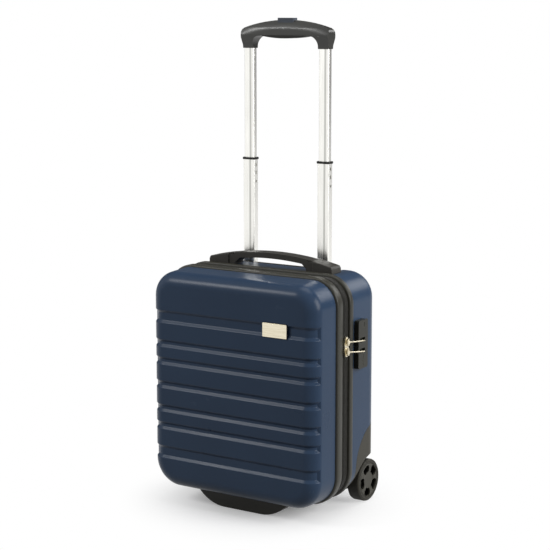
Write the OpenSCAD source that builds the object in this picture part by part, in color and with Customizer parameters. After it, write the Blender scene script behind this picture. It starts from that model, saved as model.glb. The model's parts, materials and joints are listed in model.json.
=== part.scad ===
// Hard shell suitcase with two wheels, a two-stage trolley handle and a zip with a lock.
// The floor is z = 0, +X is the lock's side, -Y is the front.
// The origin lies midway between the front face and the back of the wheels.

/* [Shells] */
// Width of both shells
case_w = 345; // [325:5:400]
// Height of the shells' top above the floor
case_top = 420; // [410:5:520]
// Height of the shells' underside above the floor
case_bottom = 28; // [26:1:34]
// Depth of the front shell, which is the lid
front_depth = 63; // [56:1:90]
// Depth of the rear shell
rear_depth = 90.5; // [88:0.5:120]
// Wall of both shells
shell_t = 3; // [2:0.5:3.5]
// Corner radius at the top, seen from the front
top_corner_r = 46; // [40:1:60]
// Corner radius at the bottom, seen from the front
bottom_corner_r = 53; // [48:1:64]
// Rounding of the front shell's edges
front_edge_r = 25; // [20:1:30]
// Draft angle of the front shell's sides
front_draft = 2.6; // [0:0.2:4]
// Rounding of the rear shell's edges
rear_edge_r = 30; // [24:1:32]

/* [Channels] */
// Height of the middle channel above the floor
channel_mid = 216.3; // [205:0.1:230]
// Step from the middle channel to the next
channel_step_1 = 42.8; // [34:0.1:46]
// Step from the second channel to the third
channel_step_2 = 31.8; // [26:0.1:34]
// Step from the third channel to the outermost
channel_step_3 = 47.9; // [38:0.1:50]
// Depth of every channel
channel_d = 3.7; // [2.5:0.1:4.5]
// Width of a channel's sloping wall
channel_slope = 5; // [3:0.5:5.5]
// Mouth of a narrow channel
narrow_w = 14; // [12:0.5:16]
// Mouth of an outermost channel
wide_w = 23; // [18:0.5:26]
// Angle that the channels run round the upright edges
channel_wrap = 63; // [45:1:75]
// Angle that the rear shell's channels run round its upright edges
rear_wrap = 45; // [30:1:50]
// Distance of the rear shell's lowest channels from the wheel housings
short_gap = 20; // [12:1:40]

/* [Rim] */
// How far the trims stand out of the shells
trim_proud = 3.5; // [2:0.5:5]
// How far the trims reach inwards
trim_in = 7; // [6:0.5:8]
// Thickness of the trims
trim_t = 2.4; // [2:0.2:3]
// Length of the lip that each trim has inside its shell's rim
trim_lip = 3.5; // [2.5:0.5:3.5]
// Width of the front trim
front_trim_w = 19; // [16:0.5:24]
// Width of the zip between the trims
zip_w = 24.5; // [22:0.5:30]
// Width of the rear trim
rear_trim_w = 13.5; // [12:0.5:18]
// How far the zip tape lies below the shells' surface
tape_sink = 1.2; // [0.8:0.1:1.6]
// Thickness of the zip tape
tape_t = 1.6; // [1:0.1:2.2]
// Gap between the two halves of the zip
tape_gap = 0.3; // [0.2:0.1:0.6]
// Thickness of the linings
lining_t = 1; // [0.8:0.1:1.5]
// Rounding of the rear lining's edges
lining_r = 12; // [9:1:14]
// Distance of the rear lining from the wheel housings
housing_clear = 2.5; // [1:0.5:4]
// Depth of the rear lining, in front of the trolley tubes
lining_depth = 58.5; // [48:0.5:60]

/* [Trolley] */
// Distance between the two tubes
tube_spacing = 156; // [140:1:170]
// Distance of the tubes' axes from the case's back
tube_inset = 27.5; // [24:0.5:32]
// Width of the lower stage's tubes
lower_w = 23.5; // [22:0.5:26]
// Depth of the lower stage's tubes
lower_d = 15; // [14:0.5:17]
// Width of the upper stage's tubes
upper_w = 20; // [18:0.5:20.5]
// Depth of the upper stage's tubes
upper_d = 12; // [10.5:0.5:12]
// Wall of the tubes
tube_t = 1.1; // [0.9:0.1:1.3]
// Height of the lower stage above the shells, pulled out
lower_out = 188; // [150:1:190]
// Height of the upper stage above the lower one, pulled out
upper_out = 197; // [170:1:205]
// Height of the collars on the lower stage
collar_h = 4; // [3.5:0.5:8]
// Length of the bezel in the case's top
bezel_w = 232; // [220:1:244]
// Depth of the bezel in the case's top
bezel_d = 34; // [30:1:38]

/* [Grip] */
// Width of the trolley's grip
grip_w = 182; // [176:1:200]
// Height of the grip's legs and bar together
grip_h = 50; // [46:1:56]
// Depth of the grip's bar
grip_d = 27; // [24:1:32]
// Height of the opening below the bar
grip_gap = 22; // [20:1:24]
// Bulge of the soft insert under the bar
insert_bulge = 4; // [2:0.5:5]
// Rise of the grip's arched top
grip_rise = 14; // [10:1:16]
// Length of the release button
button_w = 34; // [28:1:46]
// Depth of the release button
button_d = 15; // [12:1:16]
// Travel of the release button
button_travel = 3; // [2:0.5:3]
// How far the release button stands out of the grip
button_proud = 3.5; // [3.5:0.5:5]

/* [Carry handle] */
// How far the end blocks reach over the start of the top's rounded corners
handle_over = 2.5; // [0:0.5:4]
// Length of each end block
block_w = 40.5; // [36:0.5:46]
// Depth of the end blocks
block_d = 32; // [28:1:34]
// Distance of the end blocks behind the rear trim
block_inset = 3; // [2:0.5:5]
// Height of the handle above the case's top
handle_h = 27.3; // [25:0.5:32]
// Radius of the handle's arched top
handle_arc_r = 560; // [500:10:800]
// Thickness of the grip at its middle
handle_t = 10; // [8:0.5:15]
// Depth of the grip
handle_d = 25; // [20:1:28]
// How far the grip lifts in its blocks
handle_lift = 4; // [2:0.5:4]

/* [Lock] */
// Height of the lock's middle above the floor
lock_z = 301.5; // [290:0.5:310]
// Length of the lock
lock_h = 85; // [82:1:92]
// Width of the lock
lock_w = 32; // [28:1:36]
// How far the lock stands out of the rear shell
lock_proud = 9.5; // [8:0.5:10]
// Distance of the lock behind the rear trim
lock_inset = 5; // [3:0.5:8]
// Radius of the number dials
dial_r = 6; // [5.5:0.1:6.5]
// Height of a number dial
dial_h = 5; // [4:0.5:5.5]
// Step from one dial to the next
dial_step = 7; // [6.5:0.5:7.5]
// Distance of the middle dial below the lock's middle
dial_drop = 27.5; // [26:0.5:28]
// Distance of the upper pull's slot above the lock's middle
slot_up = 6; // [4:0.5:8]
// Distance of the lower pull's slot below the lock's middle
slot_down = 13; // [11:0.5:14]
// Length of a pull's slot
slot_len = 18; // [15:0.5:20]
// Height of a pull's slot
slot_h = 8; // [5:0.5:10]
// Radius of the key cylinder
key_r = 5.5; // [4.5:0.5:6]

/* [Zip sliders] */
// Width of a slider
slider_w = 15; // [12:0.5:17]
// Height of a slider
slider_h = 17; // [14:0.5:18]
// Thickness of a slider
slider_t = 4.6; // [4:0.2:5.5]
// Length of a pull from its pivot to its tip
pull_len = 49; // [46:1:56]
// Bulge of a pull's bow
pull_bow = 1.9; // [1.7:0.1:2.4]
// Radius of a pull's wire
wire_r = 1; // [0.8:0.1:1.2]

/* [Wheels] */
// Radius of the wheels
wheel_r = 38; // [34:1:40]
// Width of the wheels
wheel_w = 25; // [20:1:26]
// Distance of the wheels' outer faces from the case's side
wheel_inset = 13.5; // [12:0.5:16]
// Distance of the axles in front of the case's back
axle_inset = 3.5; // [0:0.5:8]
// Radius of the axles
axle_r = 3; // [2.5:0.5:4]
// Radius of the wheels' rims inside the tyres
rim_r = 30; // [27:1:31]
// Radius of the wheel housing's curved front edge
housing_r = 80.5; // [76:0.5:86]
// Distance of that curve's centre behind the axle
housing_back = 9; // [6:1:14]
// Distance of that curve's centre above the axle
housing_up = 34; // [28:1:38]
// Gap between a wheel housing and the rear shell
housing_seam = 0.5; // [0.2:0.1:0.8]
// Width of a wheel housing
housing_w = 44.5; // [42:0.5:50]
// Wall of a wheel housing
housing_t = 3; // [2:0.5:3.5]
// Radius of the axle's bracket on the housing
bracket_r = 15; // [12:1:20]
// Thickness of that bracket
bracket_t = 5; // [4:0.5:6]
// Height of a housing's lower screw above the floor
screw_low = 70; // [64:1:80]
// Height of a housing's upper screw above the floor
screw_high = 110; // [96:1:120]
// Distance of a housing's screws in front of the axle
screw_front = 35; // [30:1:40]
// Radius of the arch cut into the housing's side
arch_r = 68; // [64:1:70]
// Distance of that arch's centre in front of the axle
arch_front = 11; // [8:1:14]
// Height of that arch's centre above the floor
arch_z = 26; // [22:1:30]

/* [Packing straps] */
// Width of the straps
strap_w = 25; // [20:1:30]
// Thickness of the straps
strap_t = 1.5; // [1:0.1:2]
// Distance of the straps behind the rear shell's rim
strap_inset = 4; // [3:0.5:8]
// How far the lower straps drop to their ends
strap_drop = 45; // [35:1:60]
// Width of the closed buckle
buckle_w = 44; // [40:1:50]
// Height of the buckle
buckle_h = 34; // [30:1:40]

/* [Foot and badge] */
// Width of the foot's flat sole
foot_flat = 76; // [60:2:90]
// Radius of the foot's rounded ends
foot_end_r = 72; // [60:1:80]
// Depth of the foot
foot_d = 26; // [20:1:30]
// Width of the badge
badge_w = 49.5; // [44:0.5:60]
// Height of the badge
badge_h = 25.5; // [25:0.5:30]
// Distance of the badge's middle from the case's middle
badge_x = 91; // [70:1:95]

/* [Hidden] */
$fn = 64;
clear = 0.3;      // between pieces that pass each other
fit = 0.15;       // between pieces that are fixed side by side
running = 0.05;   // round a shaft that turns or slides in its bore
half_w = case_w / 2;

// Distances behind the front shell's rim
zip_start = front_trim_w;
zip_mid = zip_start + zip_w / 2;
rear_trim_start = zip_start + zip_w;
rear_start = rear_trim_start + rear_trim_w;
case_back = rear_start + rear_depth;
axle_back = case_back - axle_inset;
tube_back = case_back - tube_inset;
handle_back = rear_start + block_inset + block_d / 2;
lock_back = rear_start + lock_inset + lock_w / 2;
// Where the front rim lies along Y, so that the whole is centred
rim_y = (front_depth - axle_back - wheel_r) / 2;

channel_out = channel_step_1 + channel_step_2 + channel_step_3;
channel_rows = [
    [channel_mid, narrow_w],
    [channel_mid + channel_step_1, narrow_w],
    [channel_mid - channel_step_1, narrow_w],
    [channel_mid + channel_step_1 + channel_step_2, narrow_w],
    [channel_mid + channel_out, wide_w],
    [channel_mid - channel_step_1 - channel_step_2, narrow_w],
    [channel_mid - channel_out, wide_w]
];
channel_run = channel_slope / channel_d;
lining_inset = trim_in + fit;
lining_start = 0.5;
lining_steps = 9;
lip_inset = shell_t + fit + trim_lip * tan(front_draft);

// Heights of the trolley, pulled out as the case is shown
bezel_sink = 1.2;
bezel_t = 4.5;
socket_depth = 14;
lower_top = case_top + lower_out;
collar_z = lower_top - collar_h + 1.5;
grip_z = lower_top + upper_out;
grip_top = grip_z + grip_h;
lower_travel = collar_z - case_top - clear;
upper_travel = grip_z - collar_z - collar_h - clear;
base_h = 14;
base_z = case_bottom + shell_t;
lower_bottom = base_z + base_h + lower_travel + 2;
glide_h = 8;
upper_bottom = lower_bottom + upper_travel + glide_h + 0.5;
fixed_t = 1.6;
fixed_w = lower_w + 2 * clear + 2 * fixed_t;
fixed_d = lower_d + 2 * clear + 2 * fixed_t;
rod_r = 1.6;
bar_z = grip_top - 17;
insert_w = grip_w / 2;
spring_r = 3;
spring_z = grip_z + grip_gap + 2.5;

handle_w = case_w - 2 * top_corner_r + 2 * handle_over;
block_in = handle_w / 2 - block_w;
tongue_h = 5.5;
tongue_w = 22;
tongue_z = case_top + 3.6;

lock_face = half_w + lock_proud;
dial_x = lock_face - dial_r - 0.2;
dial_mid = lock_z - dial_drop;
key_z = lock_z + lock_h / 2 - 8.5;
slot_z = [lock_z + slot_up, lock_z - slot_down];
slider_meet = lock_z + 2.5;
tape_face = half_w - tape_sink;
slider_face = tape_face + clear + slider_t;
slider_z = [slider_meet + slider_h / 2 + 0.2, slider_meet - slider_h / 2 - 0.2];
pin_x = slider_face + 3.1;
pin_r = 1.2;
eye_r = 2.7;

wheel_x = half_w - wheel_inset - wheel_w;
arch_back = axle_back - arch_front;
plate_x = half_w - housing_w;
bush_len = 13;

strap_back = rear_start + strap_inset;
buckle_z = (case_top + case_bottom) / 2;

navy = "#2b3a52";
dark = "#45443f";
black = "#2a2926";
metal = "#b9bcc0";
champagne = "#cfc3a5";
cloth = "#7d8087";

// Places along Y what is given as a distance behind the front rim
function at(back) = rim_y + back;

// Corner points of a rectangle with rounded corners, centred on the origin
function rounded(w, d, r, steps = 4) = [
    for (c = [[1, 1, 0], [-1, 1, 90], [-1, -1, 180], [1, -1, 270]])
        for (k = [0:steps])
            let (a = c[2] + 90 * k / steps)
                [c[0] * (w / 2 - r) + r * cos(a), c[1] * (d / 2 - r) + r * sin(a)]
];

// How far a moulding's flat face lies inside its rim
function flat_inset(depth, r, draft) =
    r * cos(draft) + (depth - r + r * sin(draft)) * tan(draft);

// Half section through a moulding's edge: inwards is -x, and depth is y
module edge_section(inset, depth, r, draft, reach) {
    mid_x = -inset - flat_inset(depth, r, draft);
    mid_y = depth - r;
    polygon([
        [-reach, 0], [-inset, 0],
        [mid_x + r * cos(draft), mid_y + r * sin(draft)],
        [mid_x, mid_y], [mid_x, depth], [-reach, depth]
    ]);
    intersection() {
        translate([mid_x, mid_y]) circle(r = r);
        polygon([
            [mid_x, mid_y], [mid_x + 2 * r * cos(draft), mid_y + 2 * r * sin(draft)],
            [mid_x + 2 * r, depth + r], [mid_x, depth + r]
        ]);
    }
}

// The same half section with its rounding in straight steps, as cloth bends over a rim
module stepped_section(inset, depth, r, draft, reach) {
    mid_x = -inset - flat_inset(depth, r, draft);
    mid_y = depth - r;
    polygon(concat(
        [[-reach, 0], [-inset, 0]],
        [for (k = [0:lining_steps])
            let (a = draft + (90 - draft) * k / lining_steps)
                [mid_x + r * cos(a), mid_y + r * sin(a)]],
        [[-reach, depth]]
    ));
}

// Turns a drawing of the front view, with its depth towards +z, upright at the front rim
module upright() {
    translate([0, rim_y, 0]) rotate([90, 0, 0]) children();
}

// Sweeps a flat section round the case's outline: +x is outwards, and y is towards the front
module rim_sweep() {
    side_h = case_top - case_bottom - top_corner_r - bottom_corner_r;
    for (m = [0, 1]) mirror([m, 0, 0]) {
        translate([half_w, case_top - top_corner_r, 0])
            rotate([90, 0, 0]) linear_extrude(side_h) children();
        translate([half_w - top_corner_r, case_top - top_corner_r, 0])
            rotate_extrude(angle = 90) translate([top_corner_r, 0]) children();
        translate([half_w - bottom_corner_r, case_bottom + bottom_corner_r, 0])
            rotate([0, 0, -90])
                rotate_extrude(angle = 90) translate([bottom_corner_r, 0]) children();
    }
    translate([top_corner_r - half_w, case_top, 0])
        rotate([0, 0, 90]) rotate([90, 0, 0])
            linear_extrude(case_w - 2 * top_corner_r) children();
    translate([half_w - bottom_corner_r, case_bottom, 0])
        rotate([0, 0, -90]) rotate([90, 0, 0])
            linear_extrude(case_w - 2 * bottom_corner_r) children();
}

// A solid moulding over the case's outline, from its rim at z = 0 to its face at z = depth
module moulding(inset, depth, edge_r, draft, stepped = false) {
    reach = top_corner_r - 2;
    core = reach - 1;
    rim_sweep() {
        if (stepped) stepped_section(inset, depth, edge_r, draft, reach);
        else edge_section(inset, depth, edge_r, draft, reach);
    }
    translate([core - half_w, case_bottom + core, 0])
        cube([case_w - 2 * core, case_top - case_bottom - 2 * core, depth]);
}

module front_moulding(inset) {
    upright() moulding(inset, front_depth - inset, front_edge_r - inset, front_draft);
}

module rear_moulding(inset) {
    upright() translate([0, 0, -rear_start]) mirror([0, 0, 1])
        moulding(inset, rear_depth - inset, rear_edge_r - inset, 0);
}

// Section of a channel, from below its floor by the wall to above the surface; +x is outwards
function channel_section(width, wall, edge_r) =
    let (lean = sqrt(1 + pow(channel_run, 2)), over = 3)
    let (low = edge_r - channel_d - wall, high = edge_r + over)
    let (half_low = width / 2 - (channel_d + wall) * channel_run + wall * lean)
    let (half_high = width / 2 + over * channel_run + wall * lean)
        [[low, -half_low], [high, -half_high], [high, half_high], [low, half_low]];

// One channel across a moulding and round both its upright edges by an angle
module channel(width, wall, depth, edge_r, draft, wrap) {
    section = channel_section(width, wall, edge_r);
    bend_x = half_w - flat_inset(depth, edge_r, draft);
    translate([bend_x, 0, depth - edge_r])
        rotate([0, -90, 0]) linear_extrude(2 * bend_x) polygon(section);
    for (m = [0, 1]) mirror([m, 0, 0])
        translate([bend_x, 0, depth - edge_r])
            rotate([-90, 0, 0]) rotate([0, 0, -90])
                rotate_extrude(angle = wrap + 2 * wall) polygon(section);
}

module channels(wall) {
    upright() for (row = channel_rows)
        translate([0, row[0], 0])
            channel(row[1], wall, front_depth, front_edge_r, front_draft, channel_wrap);
}

// The same rows on the back: the lowest two stop short of the wheel housings
module rear_channels(wall) {
    short = plate_x - short_gap + wall;
    upright() translate([0, 0, -rear_start]) mirror([0, 0, 1]) for (k = [0:6])
        translate([0, channel_rows[k][0], 0])
            if (k < 5)
                channel(channel_rows[k][1], wall, rear_depth, rear_edge_r, 0, rear_wrap);
            else
                translate([short, 0, rear_depth - rear_edge_r])
                    rotate([0, -90, 0]) linear_extrude(2 * short)
                        polygon(channel_section(channel_rows[k][1], wall, rear_edge_r));
}

// A cylinder along X between two places, behind the rim and above the floor
module x_cylinder(r, x0, x1, back, z) {
    translate([x0, at(back), z]) rotate([0, 90, 0]) cylinder(r = r, h = x1 - x0);
}

// The zone that one wheel housing takes out of the rear shell, on the +X side
module housing_zone(grow, inner) {
    x_cylinder(housing_r + grow, plate_x - inner, half_w + 20,
        axle_back + housing_back, wheel_r + housing_up);
    x_cylinder(arch_r + housing_t + grow, plate_x - inner, half_w + 20, arch_back, arch_z);
}

module both_sides() {
    children();
    mirror([1, 0, 0]) children();
}

// ---- Rear half ----

module rear_shell() color(navy) difference() {
    rear_moulding(0);
    rear_channels(0);
    difference() {
        rear_moulding(shell_t);
        rear_channels(shell_t);
    }
    both_sides() housing_zone(housing_seam, fit);
    bezel_block(fit, socket_depth + 4);
    translate([half_w - shell_t - 2, at(lock_back) - lock_w / 2 + 4, lock_z - lock_h / 2 + 4])
        cube([shell_t + 4, lock_w - 8, lock_h - 8]);
}

// Section of a trim: a rounded band with a lip inside the shell's rim and a flange at the zip
function trim_section(w) = [
    [-lip_inset - 1.6, trim_lip], [-lip_inset, trim_lip], [-lip_inset, 0], [-1, 0],
    [-1, -1.8], [trim_proud - 1.3, -2], [trim_proud - 0.4, -2.8], [trim_proud, -4.2],
    [trim_proud, -w + 1.8], [trim_proud - 0.6, -w + 0.5], [trim_proud - 1.6, -w],
    [-trim_in, -w], [-trim_in, -w + 2], [trim_proud - trim_t, -w + 2],
    [trim_proud - trim_t, -4.5], [-lip_inset - 1.6, -2.5]
];

// Section of one half of the zip: a tape with its row of teeth along the far edge
function zip_section(w) = [
    [-tape_sink - tape_t, 0], [-tape_sink, 0], [-tape_sink, -w + 3],
    [0.8 - tape_sink, -w + 2.2], [0.8 - tape_sink, -w + 0.4], [-tape_sink, -w],
    [-tape_sink - tape_t, -w]
];

// The same section, seen from the other side
function flipped(section, w) = [for (p = section) [p[0], -w - p[1]]];

module rear_trim() color(dark)
    upright() translate([0, 0, -rear_trim_start]) rim_sweep()
        polygon(flipped(trim_section(rear_trim_w), rear_trim_w));

module rear_zip_tape() color(black)
    upright() translate([0, 0, -zip_mid - tape_gap / 2]) rim_sweep()
        polygon(flipped(zip_section(zip_w / 2 - tape_gap / 2), zip_w / 2 - tape_gap / 2));

module rear_lining() color(cloth) difference() {
    lining_shape(lining_inset, lining_depth);
    difference() {
        lining_shape(lining_inset + lining_t, lining_depth - lining_t);
        both_sides() housing_zone(housing_clear + lining_t, housing_clear + lining_t);
    }
    both_sides() housing_zone(housing_clear, housing_clear);
    lining_window(fit);
    translate([half_w - 3 * lock_proud, at(lock_back) - lock_w / 2 + 2, lock_z - lock_h / 2 + 2])
        cube([3 * lock_proud, lock_w - 4, lock_h - 4]);
}

// The lining's flat floor, which a zipped panel in front of the trolley's tubes closes
module lining_window(grow) {
    wide = half_w - lining_inset - lining_r - 3 + grow;
    narrow = plate_x - housing_clear - lining_t - 1 + grow;
    low = case_bottom + lining_inset + lining_r + 1 - grow;
    high = case_top - lining_inset - lining_r - 1 + grow;
    step = wheel_r + housing_up + housing_r - 12 - grow;
    upright() translate([0, 0, -rear_trim_start - lining_start - lining_depth])
        linear_extrude(lining_t) {
            translate([-wide, step]) square([2 * wide, high - step]);
            translate([-narrow, low]) square([2 * narrow, step - low + 1]);
        }
}

module tube_panel() color(cloth) lining_window(0);

module lining_shape(inset, depth) {
    upright() translate([0, 0, -rear_trim_start - lining_start]) mirror([0, 0, 1])
        moulding(inset, depth, lining_r, 0);
}

module hinge_tape() color(black)
    translate([trim_in - half_w, at(zip_mid) + 0.5, case_bottom + bottom_corner_r])
        cube([1.2, zip_w / 2 - 0.3, case_top - case_bottom - top_corner_r - bottom_corner_r]);

// ---- Front half ----

module front_shell() color(navy) difference() {
    front_moulding(0);
    channels(0);
    difference() {
        front_moulding(shell_t);
        channels(shell_t);
    }
}

module front_trim() color(dark)
    upright() rim_sweep() polygon(trim_section(front_trim_w));

module front_zip_tape() color(black)
    upright() translate([0, 0, -zip_start]) rim_sweep()
        polygon(zip_section(zip_w / 2 - tape_gap / 2));

module front_lining() color(cloth)
    upright() translate([0, 0, lining_start - front_trim_w]) {
        depth = front_depth + front_trim_w - lining_start - shell_t - channel_d - 0.5;
        edge_r = front_edge_r - shell_t - channel_d - 1.6;
        difference() {
            moulding(lining_inset, depth, edge_r, front_draft, true);
            moulding(lining_inset + lining_t, depth - lining_t, edge_r - lining_t,
                front_draft, true);
        }
    }

module mesh_pocket() color(black) {
    back = shell_t + channel_d + 0.5 + lining_t + fit - front_depth;
    pocket_w = case_w - 2 * top_corner_r - 20;
    pocket_h = (case_top - case_bottom) / 2;
    translate([-pocket_w / 2, at(back), case_bottom + bottom_corner_r])
        cube([pocket_w, 2, pocket_h - bottom_corner_r]);
}

module badge_slab(margin, back, thickness) {
    translate([badge_x, at(-front_depth) - back, channel_mid + channel_out + 0.5])
        rotate([90, 0, 0]) linear_extrude(thickness)
            polygon(rounded(badge_w - 2 * margin, badge_h - 2 * margin, 1.5));
}

module badge_base() color(black) badge_slab(0, 0, 1.2);

module badge_plate() color(champagne) badge_slab(0.7, 1.2, 0.9);

// A skid with a flat sole and upswept ends
module front_foot() color(black) difference() {
    translate([0, at(-1), 0]) rotate([90, 0, 0]) linear_extrude(foot_d) {
        sweep = acos((foot_end_r - case_bottom) / foot_end_r);
        right = [for (k = [0:8]) let (a = sweep * k / 8)
            [foot_flat / 2 + foot_end_r * sin(a), foot_end_r * (1 - cos(a))]];
        left = [for (k = [8:-1:0]) [-right[k][0], right[k][1]]];
        polygon(concat(right, [right[8] + [0, 4], left[0] + [0, 4]], left));
    }
    front_moulding(0);
}

module foot_screws() color(metal)
    for (x = [-foot_flat / 2, foot_flat / 2])
        translate([x, at(-foot_d / 2 - 1), case_bottom + shell_t
                + (foot_d / 2 + 5) * tan(front_draft)]) {
            cylinder(r = 4, h = 2);
            cylinder(r = 1.8, h = 3.4);
        }

// ---- Packing straps ----

// Two straps from the buckle to the lining, upwards for up = 1 and downwards for up = -1
module strap_pair(up) {
    reach = half_w - lining_inset - lining_t - fit;
    rise = up > 0 ? case_top - top_corner_r - buckle_z : strap_drop;
    for (m = [0, 1]) mirror([m, 0, 0])
        translate([0, at(strap_back), buckle_z]) rotate([90, 0, 0])
            linear_extrude(strap_t) polygon([
                [buckle_w / 2 - 4, up * (strap_w / 2 - 12)],
                [reach, up * (rise - strap_w)],
                [reach, up * rise],
                [buckle_w / 2 - 4, up * (strap_w / 2 + 2)]
            ]);
}

module upper_straps() color(black) strap_pair(1);

module lower_straps() color(black) strap_pair(-1);

module buckle_half() {
    translate([0, at(strap_back) + 2, 0]) rotate([90, 0, 0])
        linear_extrude(strap_t + 4) polygon(rounded(buckle_w / 2 + 4, buckle_h, 5));
}

module buckle_socket() color(black)
    translate([-buckle_w / 4 - 1, 0, buckle_z]) difference() {
        buckle_half();
        buckle_cut(-1);
    }

module buckle_plug() color(black)
    translate([buckle_w / 4 + 1, 0, buckle_z]) difference() {
        buckle_half();
        buckle_cut(1);
    }

// Leaves each half its side of the joint, and room for the straps' ends
module buckle_cut(side) {
    translate([side > 0 ? -buckle_w : buckle_w / 4 + 1 - fit, at(strap_back) - 20, -30])
        cube([side > 0 ? 0.75 * buckle_w - 1 + fit : buckle_w, 40, 60]);
    translate([side > 0 ? buckle_w / 4 - 6 : -buckle_w, at(strap_back) - strap_t - fit, -20])
        cube([side > 0 ? buckle_w : 0.75 * buckle_w + 6, strap_t + 2 * fit, 40]);
}

// ---- Trolley ----

// The block of the case's top that the bezel takes, as tall as asked
module bezel_block(grow, rise) {
    translate([-bezel_w / 2 - grow, at(tube_back) - bezel_d / 2 - grow, case_top - rise])
        cube([bezel_w + 2 * grow, bezel_d + 2 * grow, rise + 5]);
}

module tube_hole(w, d, r, z0, z1) {
    for (s = [-1, 1])
        translate([s * tube_spacing / 2, at(tube_back), z0])
            linear_extrude(z1 - z0) polygon(rounded(w, d, r));
}

// Plate that follows the shell, with a deep socket for each fixed tube
module trolley_bezel() color(black) difference() {
    intersection() {
        bezel_block(0, socket_depth);
        rear_moulding(bezel_sink);
        union() {
            difference() {
                bezel_block(0, socket_depth);
                rear_moulding(bezel_sink + bezel_t);
            }
            for (s = [-1, 1])
                translate([s * tube_spacing / 2 - fixed_w / 2 - 3,
                        at(tube_back) - fixed_d / 2 - 3, case_top - socket_depth])
                    cube([fixed_w + 6, fixed_d + 6, socket_depth]);
        }
    }
    tube_hole(lower_w + 2 * clear, lower_d + 2 * clear, 3, case_top - 30, case_top + 5);
    tube_hole(fixed_w + 2 * fit, fixed_d + 2 * fit, 4.6, case_top - 30, case_top - 6);
}

module tube(side, w, d, r, wall, z0, z1) {
    translate([side * tube_spacing / 2, at(tube_back), z0]) difference() {
        linear_extrude(z1 - z0) polygon(rounded(w, d, r));
        translate([0, 0, -1]) linear_extrude(z1 - z0 + 2)
            polygon(rounded(w - 2 * wall, d - 2 * wall, r - wall));
    }
}

module fixed_tube(side) color(metal)
    tube(side, fixed_w, fixed_d, 4.6, fixed_t, base_z + 4, case_top - 6 - fit);

// Foot plate that carries the fixed tubes on the shell's floor
module trolley_base() color(black) difference() {
    intersection() {
        translate([-tube_spacing / 2 - fixed_w / 2 - 6, at(tube_back) - fixed_d / 2 - 3,
                case_bottom])
            cube([tube_spacing + fixed_w + 12, fixed_d + 6, base_h + shell_t]);
        rear_moulding(shell_t + fit);
    }
    tube_hole(fixed_w + 2 * fit, fixed_d + 2 * fit, 4.6, base_z + 4 - fit, base_z + 60);
    translate([-tube_spacing / 2 + fixed_w / 2 + 6, at(tube_back) - fixed_d, base_z + 4])
        cube([tube_spacing - fixed_w - 12, 2 * fixed_d + 20, base_h]);
}

module lower_tube(side) color(metal) difference() {
    tube(side, lower_w, lower_d, 3, tube_t, lower_bottom, lower_top);
    for (z = [12, 26])
        translate([side * tube_spacing / 2 - lower_w / 2 - 1, at(tube_back) - 2, lower_top - z - 3])
            cube([lower_w + 2, 4, 6]);
    x_cylinder(2.4, side * tube_spacing / 2 - lower_w / 2 - 1,
        side * tube_spacing / 2 + lower_w / 2 + 1, tube_back, lower_top - 42);
}

// Ring on top of a lower tube, with its skirt inside the tube
module collar(side) color(black)
    translate([side * tube_spacing / 2, at(tube_back), collar_z]) difference() {
        linear_extrude(collar_h) polygon(rounded(lower_w + 3, lower_d + 3, 4));
        translate([0, 0, -1]) linear_extrude(collar_h - 0.5)
            polygon(rounded(lower_w + 2 * running, lower_d + 2 * running, 3));
        linear_extrude(3 * collar_h)
            polygon(rounded(upper_w + 2 * clear, upper_d + 2 * clear, 2.5));
    }

// Plastic shoes that guide a stage in the tube below it
module glides(w, d, r, hole_w, hole_d, z) {
    for (s = [-1, 1]) translate([s * tube_spacing / 2, at(tube_back), z]) difference() {
        linear_extrude(glide_h) polygon(rounded(w, d, r));
        translate([0, 0, -1]) linear_extrude(glide_h + 2) polygon(rounded(hole_w, hole_d, 2));
    }
}

module lower_glides() color(black)
    glides(lower_w + 2 * clear - 2 * running, lower_d + 2 * clear - 2 * running, 3.2,
        lower_w - 6, lower_d - 6, lower_bottom - glide_h);

module upper_tube(side) color(metal)
    tube(side, upper_w, upper_d, 2.5, 1, upper_bottom, grip_z + 12);

module upper_glides() color(black)
    glides(lower_w - 2 * tube_t - 2 * running, lower_d - 2 * tube_t - 2 * running, 2.2,
        upper_w - 8, upper_d - 7, upper_bottom - glide_h);

// ---- Grip ----

// Front view of the grip: an arched bar on two legs
module grip_outline() {
    half = grip_w / 2;
    foot = tube_spacing / 2 + upper_w / 2 + 1;
    inner = tube_spacing / 2 - upper_w / 2 - 1;
    arc_half = half - 5;
    arc_r = (pow(arc_half, 2) + pow(grip_rise, 2)) / (2 * grip_rise);
    reach = asin(arc_half / arc_r);
    top = [for (k = [-8:8]) let (a = reach * k / 8)
        [arc_r * sin(a), grip_h - arc_r * (1 - cos(a))]];
    bend = 14;
    under = [for (k = [0:6]) let (a = 90 * k / 6)
        [inner - bend + bend * cos(a), grip_gap - bend + bend * sin(a)]];
    polygon(concat(
        [[-foot, 0], [-half, grip_h - grip_rise - 7], [-half + 1, grip_h - grip_rise - 3]],
        top,
        [[half - 1, grip_h - grip_rise - 3], [half, grip_h - grip_rise - 7], [foot, 0]],
        [[inner, 0]], under, [for (k = [6:-1:0]) [-under[k][0], under[k][1]]], [[-inner, 0]]
    ));
}

// Side view of the grip: slim legs under a full, rounded bar
module grip_side() {
    leg = upper_d / 2 + 1;
    half = grip_d / 2;
    right = [[leg, -1], [leg + 0.5, 6], [half - 1, grip_gap - 4], [half, grip_gap + 2],
        [half, grip_h - 14], [half - 1.5, grip_h - 8], [half - 4.5, grip_h - 3], [half - 8, grip_h + 1]];
    polygon(concat(right, [for (k = [7:-1:0]) [-right[k][0], right[k][1]]]));
}

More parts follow.
